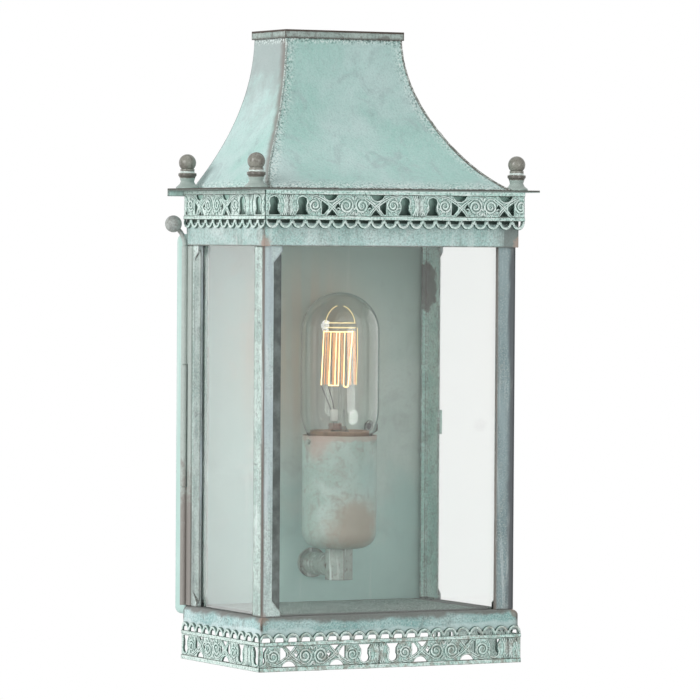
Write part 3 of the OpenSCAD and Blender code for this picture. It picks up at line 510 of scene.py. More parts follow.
ground = {}
raised = {}
# the side copies are paler, with lighter painted shade and less dark in corners: painted light on the sides
for axis, view, pale, deep, painted_shade in ((1, "front", "cfeee6", "b4dad0", "37504a"),
                                      (0, "side", "e0f1eb", "c9e2d9", "64756e")):
    cast = patina("gallery ground " + view, pale, deep, "7d8f89", "4b443d", clouds=0.09, thin=0.5,
                  crust=0.5, wear=0.7, reach=0.5, corner_dirt_and_shade=0.6 + 0.35 * axis, speck=0.55)
    ground[axis] = paint_side_shade_and_wear(cast, axis, painted_shade, 0.3, 0.6)
    chased = patina("gallery relief " + view, "e8f7f2", "cdeae1", "a0b3ac", "5a5149", clouds=0.12, thin=0.4,
                    crust=0.6, wear=0.1, reach=0.3, bump=0.1, corner_dirt_and_shade=0.6, speck=0.35)
    raised[axis] = paint_side_shade_and_wear(chased, axis, "587870", 0.45, 0.88)
dress(ground[1], "lower_gallery_front", "upper_gallery_front")
dress(ground[0], "lower_gallery_left", "lower_gallery_right", "upper_gallery_left", "upper_gallery_right")


def spiral(u, v, r_out, r_in, turns, start, way=1, n=22):
    """A scroll's line about u, v, from its outer end to its inner one."""
    return [(u + way * (r_out + (r_in - r_out) * i / n) * math.cos(start + turns * 2 * math.pi * i / n),
             v + (r_out + (r_in - r_out) * i / n) * math.sin(start + turns * 2 * math.pi * i / n))
            for i in range(n + 1)]


def sweep(a, b, bow, n=9):
    """A bowed line from a to b, as along a leaf's rib."""
    du, dv = b[0] - a[0], b[1] - a[1]
    return [(a[0] + du * i / n - dv * bow * math.sin(math.pi * i / n),
             a[1] + dv * i / n + du * bow * math.sin(math.pi * i / n)) for i in range(n + 1)]


def frieze_strokes(repeat):
    """Strokes of half a repeat, from the leaf's middle outwards: points in mm and a thickness."""
    key, curl, moon, volute = 0.107 * repeat, 0.2 * repeat, 0.275 * repeat, 0.44 * repeat
    strokes = []
    for k in range(4):
        rib = [(k * (1.3 - 0.62 * math.sin(math.pi * i / 8)), 2.6 + 11.4 * i / 8) for i in range(9)]
        strokes.append((rib, 0.42 if k else 0.55))
    rim = [(-4.6, 13.2), (-2.95, 10.8), (-2.75, 8.7), (-3.4, 6.3), (-2.7, 4.1), (0, 3.05),
           (2.7, 4.1), (3.4, 6.3), (2.75, 8.7), (2.95, 10.8), (4.6, 13.2)]
    strokes.append(([(key + u, v) for u, v in rim], 0.4))
    strokes.append((spiral(key - 3.0, 9.6, 1.1, 0.4, 1.0, 0.5, 1, 8), 0.3))
    strokes.append((spiral(curl, 8.2, 4.0, 0.9, 1.9, -1.2), 0.5))
    strokes.append((spiral(curl, 8.2, 2.9, 1.6, 1.0, 2.0), 0.34))
    for k in range(5):
        turn = 1.0 + 0.75 * k
        root = (curl + 3.6 * math.cos(turn), 8.2 + 3.6 * math.sin(turn))
        tip = (curl + 5.3 * math.cos(turn + 0.35), 8.2 + 5.3 * math.sin(turn + 0.35))
        strokes.append((sweep(root, tip, 0.25, 4), 0.34))
    strokes.append(([(moon - 2.1, 5.0), (moon - 2.15, 9.3), (moon - 2.1, 13.6)], 0.36))
    strokes.append(([(moon - 2.6 + 5.4 * math.cos(0.17 * i - 0.85), 9.3 + 5.4 * math.sin(0.17 * i - 0.85))
                     for i in range(11)], 0.36))
    for d in (-0.55, 0.55):
        strokes.append(([(u - 0.7 * d, v + 0.7 * d) for u, v in (
            (curl - 3.4, 2.8), (curl + 1.6, 3.6), (curl + 4.6, 4.9), (curl + 7.4, 6.6), (curl + 10.6, 9.0),
            (curl + 13.0, 11.4), (curl + 14.6, 13.6))], 0.36))
        strokes.append(([(u + 0.7 * d, v + 0.7 * d) for u, v in (
            (curl + 6.4, 13.7), (curl + 8.2, 11.8), (curl + 10.4, 9.4), (curl + 12.6, 7.4),
            (curl + 15.4, 5.6), (curl + 19.0, 3.4))], 0.36))
    strokes.append(([(0.32 * repeat + 4.7 * math.cos(0.3 + 0.28 * i), 1.4 + 4.7 * math.sin(0.3 + 0.28 * i))
                     for i in range(10)], 0.34))
    strokes.append((spiral(volute, 8.4, 4.6, 0.7, 2.1, -2.2, 1, 30), 0.52))
    strokes.append((spiral(volute, 8.4, 3.3, 1.4, 1.3, 0.6), 0.34))
    for k in range(6):
        turn = 0.1 + 0.62 * k
        root = (volute + 4.3 * math.cos(turn), 8.4 + 4.3 * math.sin(turn))
        tip = (volute + 5.9 * math.cos(turn + 0.3), 8.4 + 5.9 * math.sin(turn + 0.3))
        strokes.append((sweep(root, tip, 0.25, 4), 0.36))
    for k in range(3):
        strokes.append(([(0.5 * repeat - 0.9 * k * i / 3, 11.4 + 2.4 * i / 3) for i in range(4)], 0.36))
        strokes.append(([(0.5 * repeat - 1.0 * k * i / 3, 5.6 - 2.6 * i / 3) for i in range(4)], 0.36))
    return strokes


def gallery_relief(node, name, first_leaf, arches, axis, flip_u, flip_v, outward):
    """Strokes along one strip, in mm: axis 0 is a front strip and 1 a side strip."""
    low, high = (Vector(v) * 1000 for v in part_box(node))
    length = (high - low)[axis]
    height = high.z - low.z
    pitch = length / arches
    repeat = pitch * 10
    face = 0.9
    relief = empty_curve(1.0, 1)

    def place(u, v, rise):
        along = high[axis] - u if flip_u else low[axis] + u
        up = high.z - v if flip_v else low.z + v
        if axis == 0:
            return along, high.y - face - rise, up
        return (high.x - face - rise if outward < 0 else low.x + face + rise), along, up

    def stroke(points, thick):
        inside = [(u, v) for u, v in points if 0.5 < u < length - 0.5]
        if len(inside) < 3:
            return
        places, radii = [], []
        for i, (u, v) in enumerate(inside):
            places.append(place(u, v, 0.05 + 0.06 * math.sin(i * 1.3 + u)))
            ends = min(1, 0.55 + 2.4 * min(i, len(inside) - 1 - i) / len(inside))
            radii.append(1.45 * thick * ends * (1 + 0.2 * math.sin(2.1 * u + 1.7 * v)))
        add_run(relief, places, radii)

    strokes = frieze_strokes(repeat)
    for k in range(-1, arches // 10 + 2):
        leaf = first_leaf * pitch + k * repeat
        for points, thick in strokes:
            for mirror in (-1, 1):
                stroke([(leaf + mirror * u, v) for u, v in points], thick)
    arch_r = pitch / 2
    for i in range(arches):
        middle = (i + 0.5) * pitch
        for reach, thick in ((arch_r - 0.62, 0.44), (arch_r - 1.25, 0.24)):
            turns = [math.pi * j / 12 for j in range(13)]
            stroke([(middle + reach * math.cos(turn), height - arch_r + reach * math.sin(turn))
                    for turn in turns], thick)
        stroke([(middle - 0.5 * pitch, v) for v in (16.3, 17.3, 18.4)], 0.42)
    for v in (0.5, 1.8, 14.7, 15.8):
        stroke([(0.6 + (length - 1.2) * i / 60, v + 0.06 * math.sin(i * 2.3)) for i in range(61)], 0.4)
    bpy.ops.object.convert(target="MESH")
    relief.scale = (0.001, 0.001, 0.001)
    bpy.ops.object.shade_smooth()
    finish_piece(relief, name, raised[1 - axis])


gallery_relief("lower_gallery_front", "relief_lower_front", -1, 20, 0, False, False, 0)
gallery_relief("upper_gallery_front", "relief_upper_front", 1.7, 20, 0, False, True, 0)
gallery_relief("lower_gallery_left", "relief_lower_left", 1.5, 11, 1, False, False, -1)
gallery_relief("lower_gallery_right", "relief_lower_right", 1.5, 11, 1, False, False, 1)
gallery_relief("upper_gallery_left", "relief_upper_left", 9, 11, 1, True, True, -1)
gallery_relief("upper_gallery_right", "relief_upper_right", 9, 11, 1, True, True, 1)

# Top rail: plain brass sheet under the upper gallery, soldered to the posts. It is whitish with grey
# runs and brown with solder at its front corners. Behind the open strip it is painted with shade, dark
# below and lighter towards the eave, and its left faces are painted a little darker as shade.
rail_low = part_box("top_rail_front")[0]


def apart(tree, a, b):
    node = add_node(tree, "ShaderNodeVectorMath", operation="DISTANCE")
    return feed(tree, node, _0=a, _1=b).outputs["Value"]


def without_sign(tree, vector):
    return feed(tree, add_node(tree, "ShaderNodeVectorMath", operation="ABSOLUTE"), _0=vector).outputs[0]


def solder_spots(tree):
    """Mask of the solder at the front corners, where the posts meet the two rails."""
    place = surface(tree)
    corner = (-rail_low[0], -rail_low[1], rail_low[2] + 0.0018)
    away = apart(tree, without_sign(tree, place), corner)
    away = ragged(tree, away, cloud(tree, place, 0.4, 4.0, 0.7, 0.5), -0.007)
    return ramp(tree, away, 0.0012, -0.0012, 0.0, 0.75)


rail_patina = patina("top rail patina", "c9e0dd", "a9cdc8", "98a5a1", "6b625b", clouds=0.045, thin=0.6,
                     crust=0.4, wear=0.9, reach=1.8, corner_dirt_and_shade=0.4, speck=0.3)
tree, shader, colour = coloured(rail_patina)
spot = split(tree)
drips = cloud(tree, drawn_out(tree, surface(tree), (1, 1, 0.07)), 0.22, 4.0, 0.6)
colour = blendin(tree, ramp(tree, drips, 0.55, 0.75, 0.0, 0.6), colour, tone("e9f2ef"))
colour = blendin(tree, ramp(tree, drips, 0.45, 0.3, 0.0, 0.45), colour, tone("93a8a3"))
right_end = ramp(tree, ragged(tree, spot[0], drips, 0.03), 0.079, 0.087, 0.0, 0.85)
colour = blendin(tree, right_end, colour, tone("79817e"))
colour = blendin(tree, solder_spots(tree), colour, tone("b39f93"))
# painted shade: the left faces a little darker
left_face_shade = ramp(tree, split(tree, "Normal")[0], -0.5, -0.8)
colour = blendin(tree, left_face_shade, colour, (0.9, 0.87, 0.87, 1), "MULTIPLY")
# painted shade behind the open strip: dark below, lighter towards the eave
painted_shade_fade = ramp(tree, spot[2], eave_high.z - 0.0165, eave_high.z - 0.004)
painted_shade = blendin(tree, painted_shade_fade, tone("414f49"), tone("aed0c5"))
behind = ramp(tree, spot[2], eave_high.z - 0.0199, eave_high.z - 0.0189)
feed(tree, shader, Base_Color=blendin(tree, behind, colour, painted_shade))
dress(rail_patina, "top_rail_front", "top_rail_left", "top_rail_right", "top_rail_rear")

# Base rail and floor: a rolled brass moulding round a flat plate. The moulding is rubbed brown along
# its rounded top and pale aqua below, with its front faces painted darker as shade, and the floor is a
# speckled grey green.
sill_patina = patina("base rail patina", "bbd6d6", "98bfbe", "808b89", "5f5852", clouds=0.035, thin=0.6,
                     crust=0.35, wear=0.7, reach=2.2, corner_dirt_and_shade=0.5, speck=0.35)
tree, shader, colour = coloured(sill_patina)
place, spot = surface(tree), split(tree)
below_top = sums(tree, "SUBTRACT", spot[2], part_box("base_rail_front")[1][2] + 0.0055)
below_top = ragged(tree, below_top, cloud(tree, place, 0.05, 4.0, 0.6, 0.4), 0.011)
colour = blendin(tree, ramp(tree, below_top, -0.0040, -0.0008, 0.0, 0.85), colour, tone("7b7773"))
colour = blendin(tree, ramp(tree, below_top, -0.0065, -0.0085, 0.0, 0.6), colour, tone("dcecec"))
colour = blendin(tree, solder_spots(tree), colour, tone("9b897e"))
# painted shade: the front faces darker
front = ramp(tree, split(tree, "Normal")[1], -0.3, -0.7)
colour = blendin(tree, front, colour, (0.82, 0.86, 0.84, 1), "MULTIPLY")
right_end = ragged(tree, spot[0], cloud(tree, place, 0.1, 4.0, 0.6, 0.3), 0.014)
colour = blendin(tree, ramp(tree, right_end, 0.083, 0.090, 0.0, 0.7), colour, tone("6b706e"))
feed(tree, shader, Base_Color=colour)
floor_patina = patina("floor patina", "98aca5", "7b948c", "6c7571", "5d564f", clouds=0.08, thin=0.7,
                      crust=0.6, wear=0.4, speck=0.7)
dress(sill_patina, "base_rail_front", "base_rail_left", "base_rail_right", "base_rail_rear")
dress(floor_patina, "floor_plate")


# Corner posts: thick folded angles of brass, soldered between the two rails. Each has a bevel cut
# along its inner edge that has gone dark, and is brushed along its length.
def post_metal(name, pale, deep, bevel, outer=0.0, sheen="b7c6cb"):
    made = patina(name, pale, deep, "87918e", "5b534c", clouds=0.07, thin=0.8, crust=0.45, wear=1.0,
                  reach=1.6, corner_dirt_and_shade=0.5, speck=0.3)
    tree, shader, colour = coloured(made)
    place, spot, facing = surface(tree), split(tree), split(tree, "Normal")
    brushed = cloud(tree, drawn_out(tree, place, (1, 1, 0.05)), 0.3, 4.0, 0.6)
    colour = blendin(tree, ramp(tree, brushed, 0.52, 0.7, 0.0, 0.7), colour, tone("e6eeec"))
    colour = blendin(tree, ramp(tree, brushed, 0.46, 0.3, 0.0, 0.6), colour, tone("848b89"))
    colour = blendin(tree, solder_spots(tree), colour, tone("9b897e"))
    broad = cloud(tree, drawn_out(tree, place, (1, 1, 0.25)), 0.09, 4.0, 0.6, 0.3)
    # lavender grey on the front, brown beside the front edge on the outer side
    front = times(tree, ramp(tree, facing[1], -0.5, -0.9), ramp(tree, broad, 0.35, 0.6, 0.3, 0.8),
                  ramp(tree, spot[2], -0.08, 0.0, 0.3, 1.0))
    colour = blendin(tree, front, colour, tone(sheen))
    ridge = ragged(tree, times(tree, spot[1], -1.0), broad, 0.012)
    ridge = times(tree, ramp(tree, ridge, 0.1122, 0.1155, 0.0, 0.95), ramp(tree, facing[0], -0.6, -0.9))
    colour = blendin(tree, ridge, colour, tone("7b7671"))
    if outer:
        rim = ramp(tree, ragged(tree, spot[0], broad, 0.012), 0.0795, 0.0835, 0.0, outer)
        colour = blendin(tree, times(tree, rim, ramp(tree, facing[1], -0.5, -0.9)), colour, tone("5b5f62"))
    # the bevel is what faces neither along an axis nor halfway between two
    along_axes = without_sign(tree, surface(tree, "Normal"))
    parts = feed(tree, add_node(tree, "ShaderNodeSeparateXYZ"), _0=along_axes).outputs
    largest = sums(tree, "MAXIMUM", parts[0], parts[1])
    tilted = times(tree, ramp(tree, largest, 0.99, 0.975), ramp(tree, largest, 0.9, 0.93), bevel)
    dark = ramp(tree, cloud(tree, place, 0.12, 5.0, 0.6), 0.35, 0.7)
    dark = blendin(tree, dark, tone("565c59"), tone("7c8582"))
    feed(tree, shader, Base_Color=blendin(tree, tilted, colour, dark))
    return made


left_metal = post_metal("left post patina", "c6d8d1", "a8c0b9", 0.95)
right_metal = post_metal("right post patina", "83979a", "6d8386", 0.2, 0.9, "9aacae")
dress(left_metal, "post_front_left")
dress(right_metal, "post_front_right")
dress(post_metal("rear post patina", "cbdcd6", "a9bfb9", 0.4), "post_rear_left", "post_rear_right")


# Plain faces: the outer sides of the front posts, and the front of the right one, have no bevel. A
# strip of the same metal fills it up, filed round at its edge and a hair proud of the flange.
def upright_strip(name, ring, low, high, made):
    """A straight strip of folded or filed metal: its outline in plan, and its two heights."""
    strip = fresh(bpy.ops.mesh.primitive_cube_add, size=1)
    form = bmesh.new()
    feet = [form.verts.new((x, y, low)) for x, y in ring]
    heads = [form.verts.new((x, y, high)) for x, y in ring]
    form.faces.new(feet)
    form.faces.new(list(reversed(heads)))
    for i in range(len(ring)):
        j = (i + 1) % len(ring)
        form.faces.new((feet[i], heads[i], heads[j], feet[j]))
    bmesh.ops.recalc_face_normals(form, faces=form.faces)
    form.to_mesh(strip.data)
    form.free()
    finish_piece(strip, name, made)


flange_low, flange_high = (Vector(v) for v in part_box("post_front_left"))
proud, inset, bury = 0.00003, 0.00004, 0.0005
round_off, fill_depth = 0.0004, 0.0017
face_x, end_y = -flange_low.x + proud, flange_high.y - inset
face_y, end_x = flange_low.y - proud, -flange_high.x + inset
side_fill = [(face_x, flange_low.y + bury), (face_x, end_y - round_off), (face_x - round_off, end_y),
             (face_x - fill_depth, end_y)]
front_fill = [(-flange_low.x - bury, face_y), (end_x + round_off, face_y), (end_x, face_y + round_off),
              (end_x, face_y + fill_depth)]
foot, head = flange_low.z + 0.0001, flange_high.z - 0.0311
upright_strip("post_edge_left", [(-x, y) for x, y in side_fill], foot, head, left_metal)
upright_strip("post_edge_right", side_fill, foot, head, right_metal)
upright_strip("post_edge_front", front_fill, foot, head, right_metal)

# Glazing beads: a strip of thin brass, folded twice, stands in each rear corner of the case and holds
# the side pane from inside. Near the top, its pale skin has come off in a brown patch.
bead_patina = patina("glazing bead patina", "d8f2ea", "bce2d8", "96a8a0", "7d7770", clouds=0.05, thin=0.6,
                     crust=0.4, wear=0.5, reach=0.8, corner_dirt_and_shade=0.5, speck=0.3)
tree, shader, colour = coloured(bead_patina)
place = surface(tree)
away = apart(tree, drawn_out(tree, place, (0, 0.5, 0.35)), (0, -0.0095, 0.0275))
away = ragged(tree, away, cloud(tree, place, 0.2, 6.0, 0.75, 0.6), -0.009)
patch = ramp(tree, away, 0.0005, -0.0006, 0.0, 0.8)
feed(tree, shader, Base_Color=blendin(tree, patch, colour, tone("7b7570")))
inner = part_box("glass_right")[0][0] - 0.0002
sheet = 0.0008
fold = [(inner, -0.0312), (inner, -0.0172), (0.0693, -0.0172), (0.0693, -0.0180), (0.0719, -0.0180),
        (0.0722, -0.0187), (0.0729, -0.0190), (0.0731, -0.0198), (inner - sheet, -0.0204),
        (inner - sheet, -0.0312)]
foot, head = rail_low[2] - 0.2038, rail_low[2] + 0.012
for side, name in ((-1, "glazing_bead_left"), (1, "glazing_bead_right")):
    upright_strip(name, [(side * x, y) for x, y in fold], foot, head, bead_patina)

# Back box: a folded brass pan on the wall, kept cleaner and softer behind the glass than the case. It
# is green towards its top and aqua below, and round the lamp it is painted a warm beige, as the lamp's
# light falling on it.
box_patina = patina("back box patina", "d2e1da", "bfd2ca", "b3beb9", "716a61", clouds=0.02, thin=0.5,
                    crust=0.2, wear=0.3, bump=0.05)
tree, shader, colour = coloured(box_patina)
place, spot = surface(tree), split(tree)
lamp_low, lamp_high = (Vector(v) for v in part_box("bulb_glass"))
colour = blendin(tree, ramp(tree, spot[2], 0.02, 0.11, 0.0, 0.75), colour, tone("a9c4ba"))
drift = times(tree, sums(tree, "SUBTRACT", cloud(tree, place, 0.03, 4.0, 0.6, 0.5), 0.5), 0.12)
low_part = ramp(tree, sums(tree, "ADD", spot[2], drift), -0.02, -0.07, 0.0, 0.6)
left_part = ramp(tree, sums(tree, "ADD", spot[0], drift), -0.030, -0.050, 0.0, 0.5)
colour = blendin(tree, sums(tree, "MAXIMUM", low_part, left_part), colour, tone("b2d8d2"))
upright_streaks = cloud(tree, drawn_out(tree, place, (1, 1, 0.04)), 0.12, 4.0, 0.6)
# painted light of the lamp: a warm beige pool round it, on the faces that look towards it
lamp_glow_squash = 0.8
lamp_glow_middle = (-0.004, 0, lamp_glow_squash * (lamp_low.z + 0.05))
reach = apart(tree, drawn_out(tree, place, (1, 0, lamp_glow_squash)), lamp_glow_middle)
painted_lamp_glow = times(tree, ramp(tree, reach, 0.06, 0.02), ramp(tree, upright_streaks, 0.3, 0.65, 0.35, 0.85),
              ramp(tree, split(tree, "Normal")[1], 0.2, -0.2))
colour = blendin(tree, painted_lamp_glow, colour, tone("ccc3b2"))
colour = blendin(tree, ramp(tree, upright_streaks, 0.58, 0.72, 0.0, 0.35), colour, tone("e4ece8"))
feed(tree, shader, Base_Color=colour)
dress(box_patina, "back_box")

# Lamp cup: a deep drawn brass cup that holds the bulb. Its rim is rubbed tan, and tan and aqua stains
# lie on the side that shows.
cup_patina = patina("cup patina", "b4c8bf", "9fb7ad", "928f86", "7c6f64", clouds=0.05, thin=0.7, crust=0.3,
                    wear=0.9, reach=1.0, bump=0.06, rough=0.5)
tree, shader, colour = coloured(cup_patina)
place = surface(tree)
cup_low, cup_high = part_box("lamp_cup")
stain = cloud(tree, place, 0.12, 5.0, 0.65, 0.4)
below_top = ragged(tree, sums(tree, "SUBTRACT", split(tree)[2], cup_high[2]), stain, 0.005)
colour = blendin(tree, ramp(tree, below_top, -0.0012, 0.0004, 0.0, 0.55), colour, tone("b8a495"))
for centre, reach, part, paint in (
    ((0.001, -0.0694, cup_low[2] + 0.013), 0.020, 0.75, "a39482"),
    ((-0.014, -0.0640, cup_low[2] + 0.006), 0.012, 0.5, "b0a394"),
    ((-0.0188, -0.0580, cup_high[2] - 0.002), 0.014, 0.7, "b8a094"),
    ((0.0100, -0.0660, cup_low[2] + 0.040), 0.016, 0.55, "a3c3bd"),
):
    away = ragged(tree, apart(tree, place, centre), stain, -0.02)
    colour = blendin(tree, ramp(tree, away, reach - 0.008, reach - 0.022, 0.0, part), colour, tone(paint))
feed(tree, shader, Base_Color=colour)
dress(cup_patina, "lamp_cup")

# Arm: a short brass rod through a turned collar, held by a nut inside the box, with a six-sided
# coupling and a screwed tube up into the cup. Pale streaks run down it.
arm_patina = patina("arm patina", "acb8b0", "98a69e", "7a746a", "6b6256", clouds=0.1, thin=0.8, crust=0.2,
                    wear=0.9, reach=0.8, bump=0.04, rough=0.4)
tree, shader, colour = coloured(arm_patina)
streaks = cloud(tree, drawn_out(tree, surface(tree), (1, 1, 0.08)), 0.35, 3.0, 0.6)
streaks = ramp(tree, streaks, 0.55, 0.68, 0.0, 0.85)
feed(tree, shader, Base_Color=blendin(tree, streaks, colour, tone("dbe6e1")))
dress(arm_patina, "arm_collar", "lamp_arm", "arm_coupling", "cup_nipple")

# Hinge, catch and hidden hardware: rolled knuckles on a loose pin, and plain screws, rivets and a
# nut. They are brass with a brown skin, browner towards the hinge's foot, and little verdigris.
hinge_patina = patina("hinge patina", "acb2ae", "949a97", "77726d", "665f58", clouds=0.25, thin=1.0,
                      crust=0.5, wear=0.9, reach=0.6, bump=0.12, rough=0.6)
dull_brass = patina("dull brass", "a58f5e", "937c4c", "7d6c47", "b89c62", clouds=0.1, thin=0.6, crust=0.1,
                    wear=0.4, bump=0.03, rough=0.45)
tree, shader, colour = coloured(hinge_patina)
up = split(tree)[2]
pin_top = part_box("hinge_pin")[1][2]
below_ball = ramp(tree, up, pin_top - 0.010, pin_top - 0.016, 0.0, 0.75)
colour = blendin(tree, below_ball, colour, tone("b6c2bc"))
brown = ragged(tree, up, cloud(tree, surface(tree), 0.25, 5.0, 0.7), 0.10)
colour = blendin(tree, ramp(tree, brown, 0.035, 0.0, 0.0, 0.8), colour, tone("8b827d"))
feed(tree, shader, Base_Color=colour)
dress(hinge_patina, "hinge_leaf_fixed", "hinge_leaf_moving", "hinge_pin")
dress(dull_brass, "wall_bracket", "bracket_screws", "catch_rivets", "arm_nut", "bulb_cap")
dress(bead_patina, "catch_spring")
dress(floor_patina, "glazing_clips")


# Glass: three flat panes, clipped behind the posts, and the clear bulb. The bulb is blown with a thin
# wall: a waisted foot, a straight side and a round end.
def clear_glass(name, tint, share, rough=0.02):
    made = bpy.data.materials.new(name)
    made.use_nodes = True
    feed(made.node_tree, made.node_tree.nodes["Principled BSDF"], Base_Color=tone(tint), Roughness=rough,
         Transmission_Weight=1.0, IOR=1.45, Alpha=share)
    return made


dress(clear_glass("pane glass", "fdfefd", 1.0), "glass_front", "glass_left", "glass_right")
dress(clear_glass("stem glass", "f4f7f4", 0.4), "bulb_stem")


def walled(piece, thickness, offset=-1):
    """Gives an open surface its wall."""
    wall = piece.modifiers.new("wall", "SOLIDIFY")
    wall.thickness = thickness
    wall.offset = offset
    bpy.ops.object.modifier_apply(modifier="wall")


bulb_r = (lamp_high.x - lamp_low.x) / 2
axis_y = (lamp_high.y + lamp_low.y) / 2
waist_high, waist_r = 0.0185, 0.030
dome = lamp_high.z - bulb_r
shoulder = lamp_low.z + waist_high
bulb_profile = []
for i in range(15):
    z = lamp_low.z + waist_high * i / 14
    bulb_profile.append((bulb_r - waist_r + math.sqrt(waist_r ** 2 - (shoulder - z) ** 2), z))
for i in range(1, 6):
    bulb_profile.append((bulb_r, shoulder + (dome - shoulder) * i / 6))
for i in range(25):
    turn = math.pi / 2 * i / 24
    bulb_profile.append((bulb_r * math.cos(turn), dome + bulb_r * math.sin(turn)))
bulb = fresh(bpy.ops.mesh.primitive_plane_add, size=0.001)
form = bmesh.new()
last = None
for r, z in bulb_profile:
    spot = form.verts.new((max(r, 0.0), axis_y, z))
    if last:
        form.edges.new((last, spot))
    last = spot
form.to_mesh(bulb.data)
form.free()
bpy.ops.object.mode_set(mode="EDIT")
bpy.ops.mesh.select_all(action="SELECT")
bpy.ops.mesh.spin(steps=64, angle=2 * math.pi, center=(0, axis_y, 0), axis=(0, 0, 1))
bpy.ops.mesh.select_all(action="SELECT")
bpy.ops.mesh.remove_doubles(threshold=0.000005)
bpy.ops.mesh.normals_make_consistent(inside=False)
bpy.ops.object.mode_set(mode="OBJECT")
walled(bulb, 0.0004)
bpy.ops.object.shade_smooth_by_angle(angle=math.radians(60))
finish_piece(bulb, "bulb_blown_glass", clear_glass("bulb glass", "f8faf8", 1.0), "wall_part")
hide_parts("bulb_glass")


# Filament: a cage of fine wire that glows, under two rings and two hooks. Its far strands glow
# less, and two dark leads come up to it from the press of the stem, which is painted white as its
# highlights.
def across(side, away, height):
    """A point by mm to the right of the bulb's axis as the photo sees it, mm nearer, and height."""
    return (0.885 * side - 0.465 * away) / 1000, axis_y - (0.465 * side + 0.885 * away) / 1000, height / 1000


def bent_wires(runs, thick):
    """Wires through lists of points, all of one thickness in mm."""
    wires = empty_curve(thick / 2000, 2)
    for run in runs:
        add_run(wires, run)
    bpy.ops.object.convert(target="MESH")
    bpy.ops.object.mode_set(mode="EDIT")
    bpy.ops.mesh.select_all(action="SELECT")
    bpy.ops.mesh.remove_doubles(threshold=0.000004)
    bpy.ops.mesh.normals_make_consistent(inside=False)
    bpy.ops.object.mode_set(mode="OBJECT")
    bpy.ops.object.shade_smooth_by_angle(angle=math.radians(50))
    return wires


cage_head, cage_foot = 53.4, 23.0
head_r, foot_r = 9.4, 10.7
lower_ring, upper_ring, rings_r = 55.6, 58.3, 8.6


def strand(top, foot, near):
    """Both ends of a strand of the cage, on its near side or on its far one."""
    deep = [near * math.sqrt(max(r * r - v * v, 0)) for r, v in ((head_r, top), (foot_r, foot))]
    return [across(top, deep[0], cage_head), across(foot, deep[1], cage_foot)]


def glowing(name, paint, strength):
    made = bpy.data.materials.new(name)
    made.use_nodes = True
    feed(made.node_tree, made.node_tree.nodes["Principled BSDF"], Base_Color=tone(paint), Roughness=0.6,
         Emission_Color=tone(paint), Emission_Strength=strength)
    return made


near = [strand(top, foot, 1) for top, foot in ((-9.3, -10.6), (-5.2, -6.4), (-2.05, -2.9), (-0.3, -0.85),
                                               (2.6, 2.05), (7.0, 4.7))]
bow = [across(2.05 + 2.65 * i / 6, 9.9, cage_foot - 1.0 * math.sin(math.pi * i / 6)) for i in range(7)]
hoop = [math.radians(-86 + 140 * i / 16) for i in range(17)]
runs = near + [bow, [across(9.0 * math.sin(turn), 9.0 * math.cos(turn), cage_head) for turn in hoop]]
for left, right in ((1, 2), (2, 3)):
    runs.append([near[left][1], near[right][1]])
cage = bent_wires(runs, 0.52)
white_hot = glowing("white hot wire", "ffd694", 2.6)
finish_piece(cage, "filament_front_strands", white_hot, "wall_part")
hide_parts("filament")

full_turn = [2 * math.pi * i / 36 for i in range(37)]
fine = [[across(rings_r * math.sin(turn), rings_r * math.cos(turn), z) for turn in full_turn]
        for z in (lower_ring, upper_ring)]
quarter = [math.pi / 2 * i / 10 for i in range(11)]
for side in (-1, 1):
    fine.append([across(side * (1.7 + 6.5 * math.cos(turn) ** 1.3), 2.0,
                        upper_ring + 9.6 * math.sin(turn) ** 1.1) for turn in quarter])
fine.append([across(9.7, 1.0, lower_ring), across(9.9, 1.0, 40), across(9.2, 1.0, cage_foot)])
hooks = bent_wires(fine, 0.36)
yellow_hot = glowing("yellow hot wire", "f3dca0", 1.0)
finish_piece(hooks, "filament_rings", yellow_hot, "wall_part")

far = [strand(v, v * 1.1, -1) for v in (-8.2, -7.0, -3.9, -1.2, 1.1, 4.3, 5.6, 8.3)]
far += [[across(v, 0.0, 53.0), across(v * 1.08, 0.0, 23.4)] for v in (-6.6, -3.2, 0.9, 4.9, 7.6)]
behind = bent_wires(far, 0.75)
orange_hot = glowing("orange hot wire", "dda878", 0.6)
finish_piece(behind, "filament_far_strands", orange_hot, "wall_part")

lead = patina("lead wire", "77736e", "66625e", "55524f", "6c6864", clouds=0.4, thin=0.5, crust=0.1,
              wear=0.1, bump=0.02, rough=0.4)
leads = bent_wires([[across(-10.6, 1.0, 22.6), across(-5.0, 2.2, 9.0), across(-2.4, 2.2, -6.0)],
                    [across(-6.6, 2.0, 22.6), across(-3.8, 2.4, 12.6), across(-0.6, 2.4, -6.0)]], 0.42)
finish_piece(leads, "filament_leads", lead, "wall_part")
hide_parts("filament_wires")


# Press of the stem: the glass tube is pinched flat round the leads, and the press is painted milky
# white there for the highlights on its glass. A coil of thin copper stands under it, in the bulb's foot.
def rounded(piece, width, segments):
    """Rounds every edge of a piece."""
    rounding = piece.modifiers.new("round", "BEVEL")
    rounding.width = width
    rounding.segments = segments
    bpy.ops.object.modifier_apply(modifier="round")


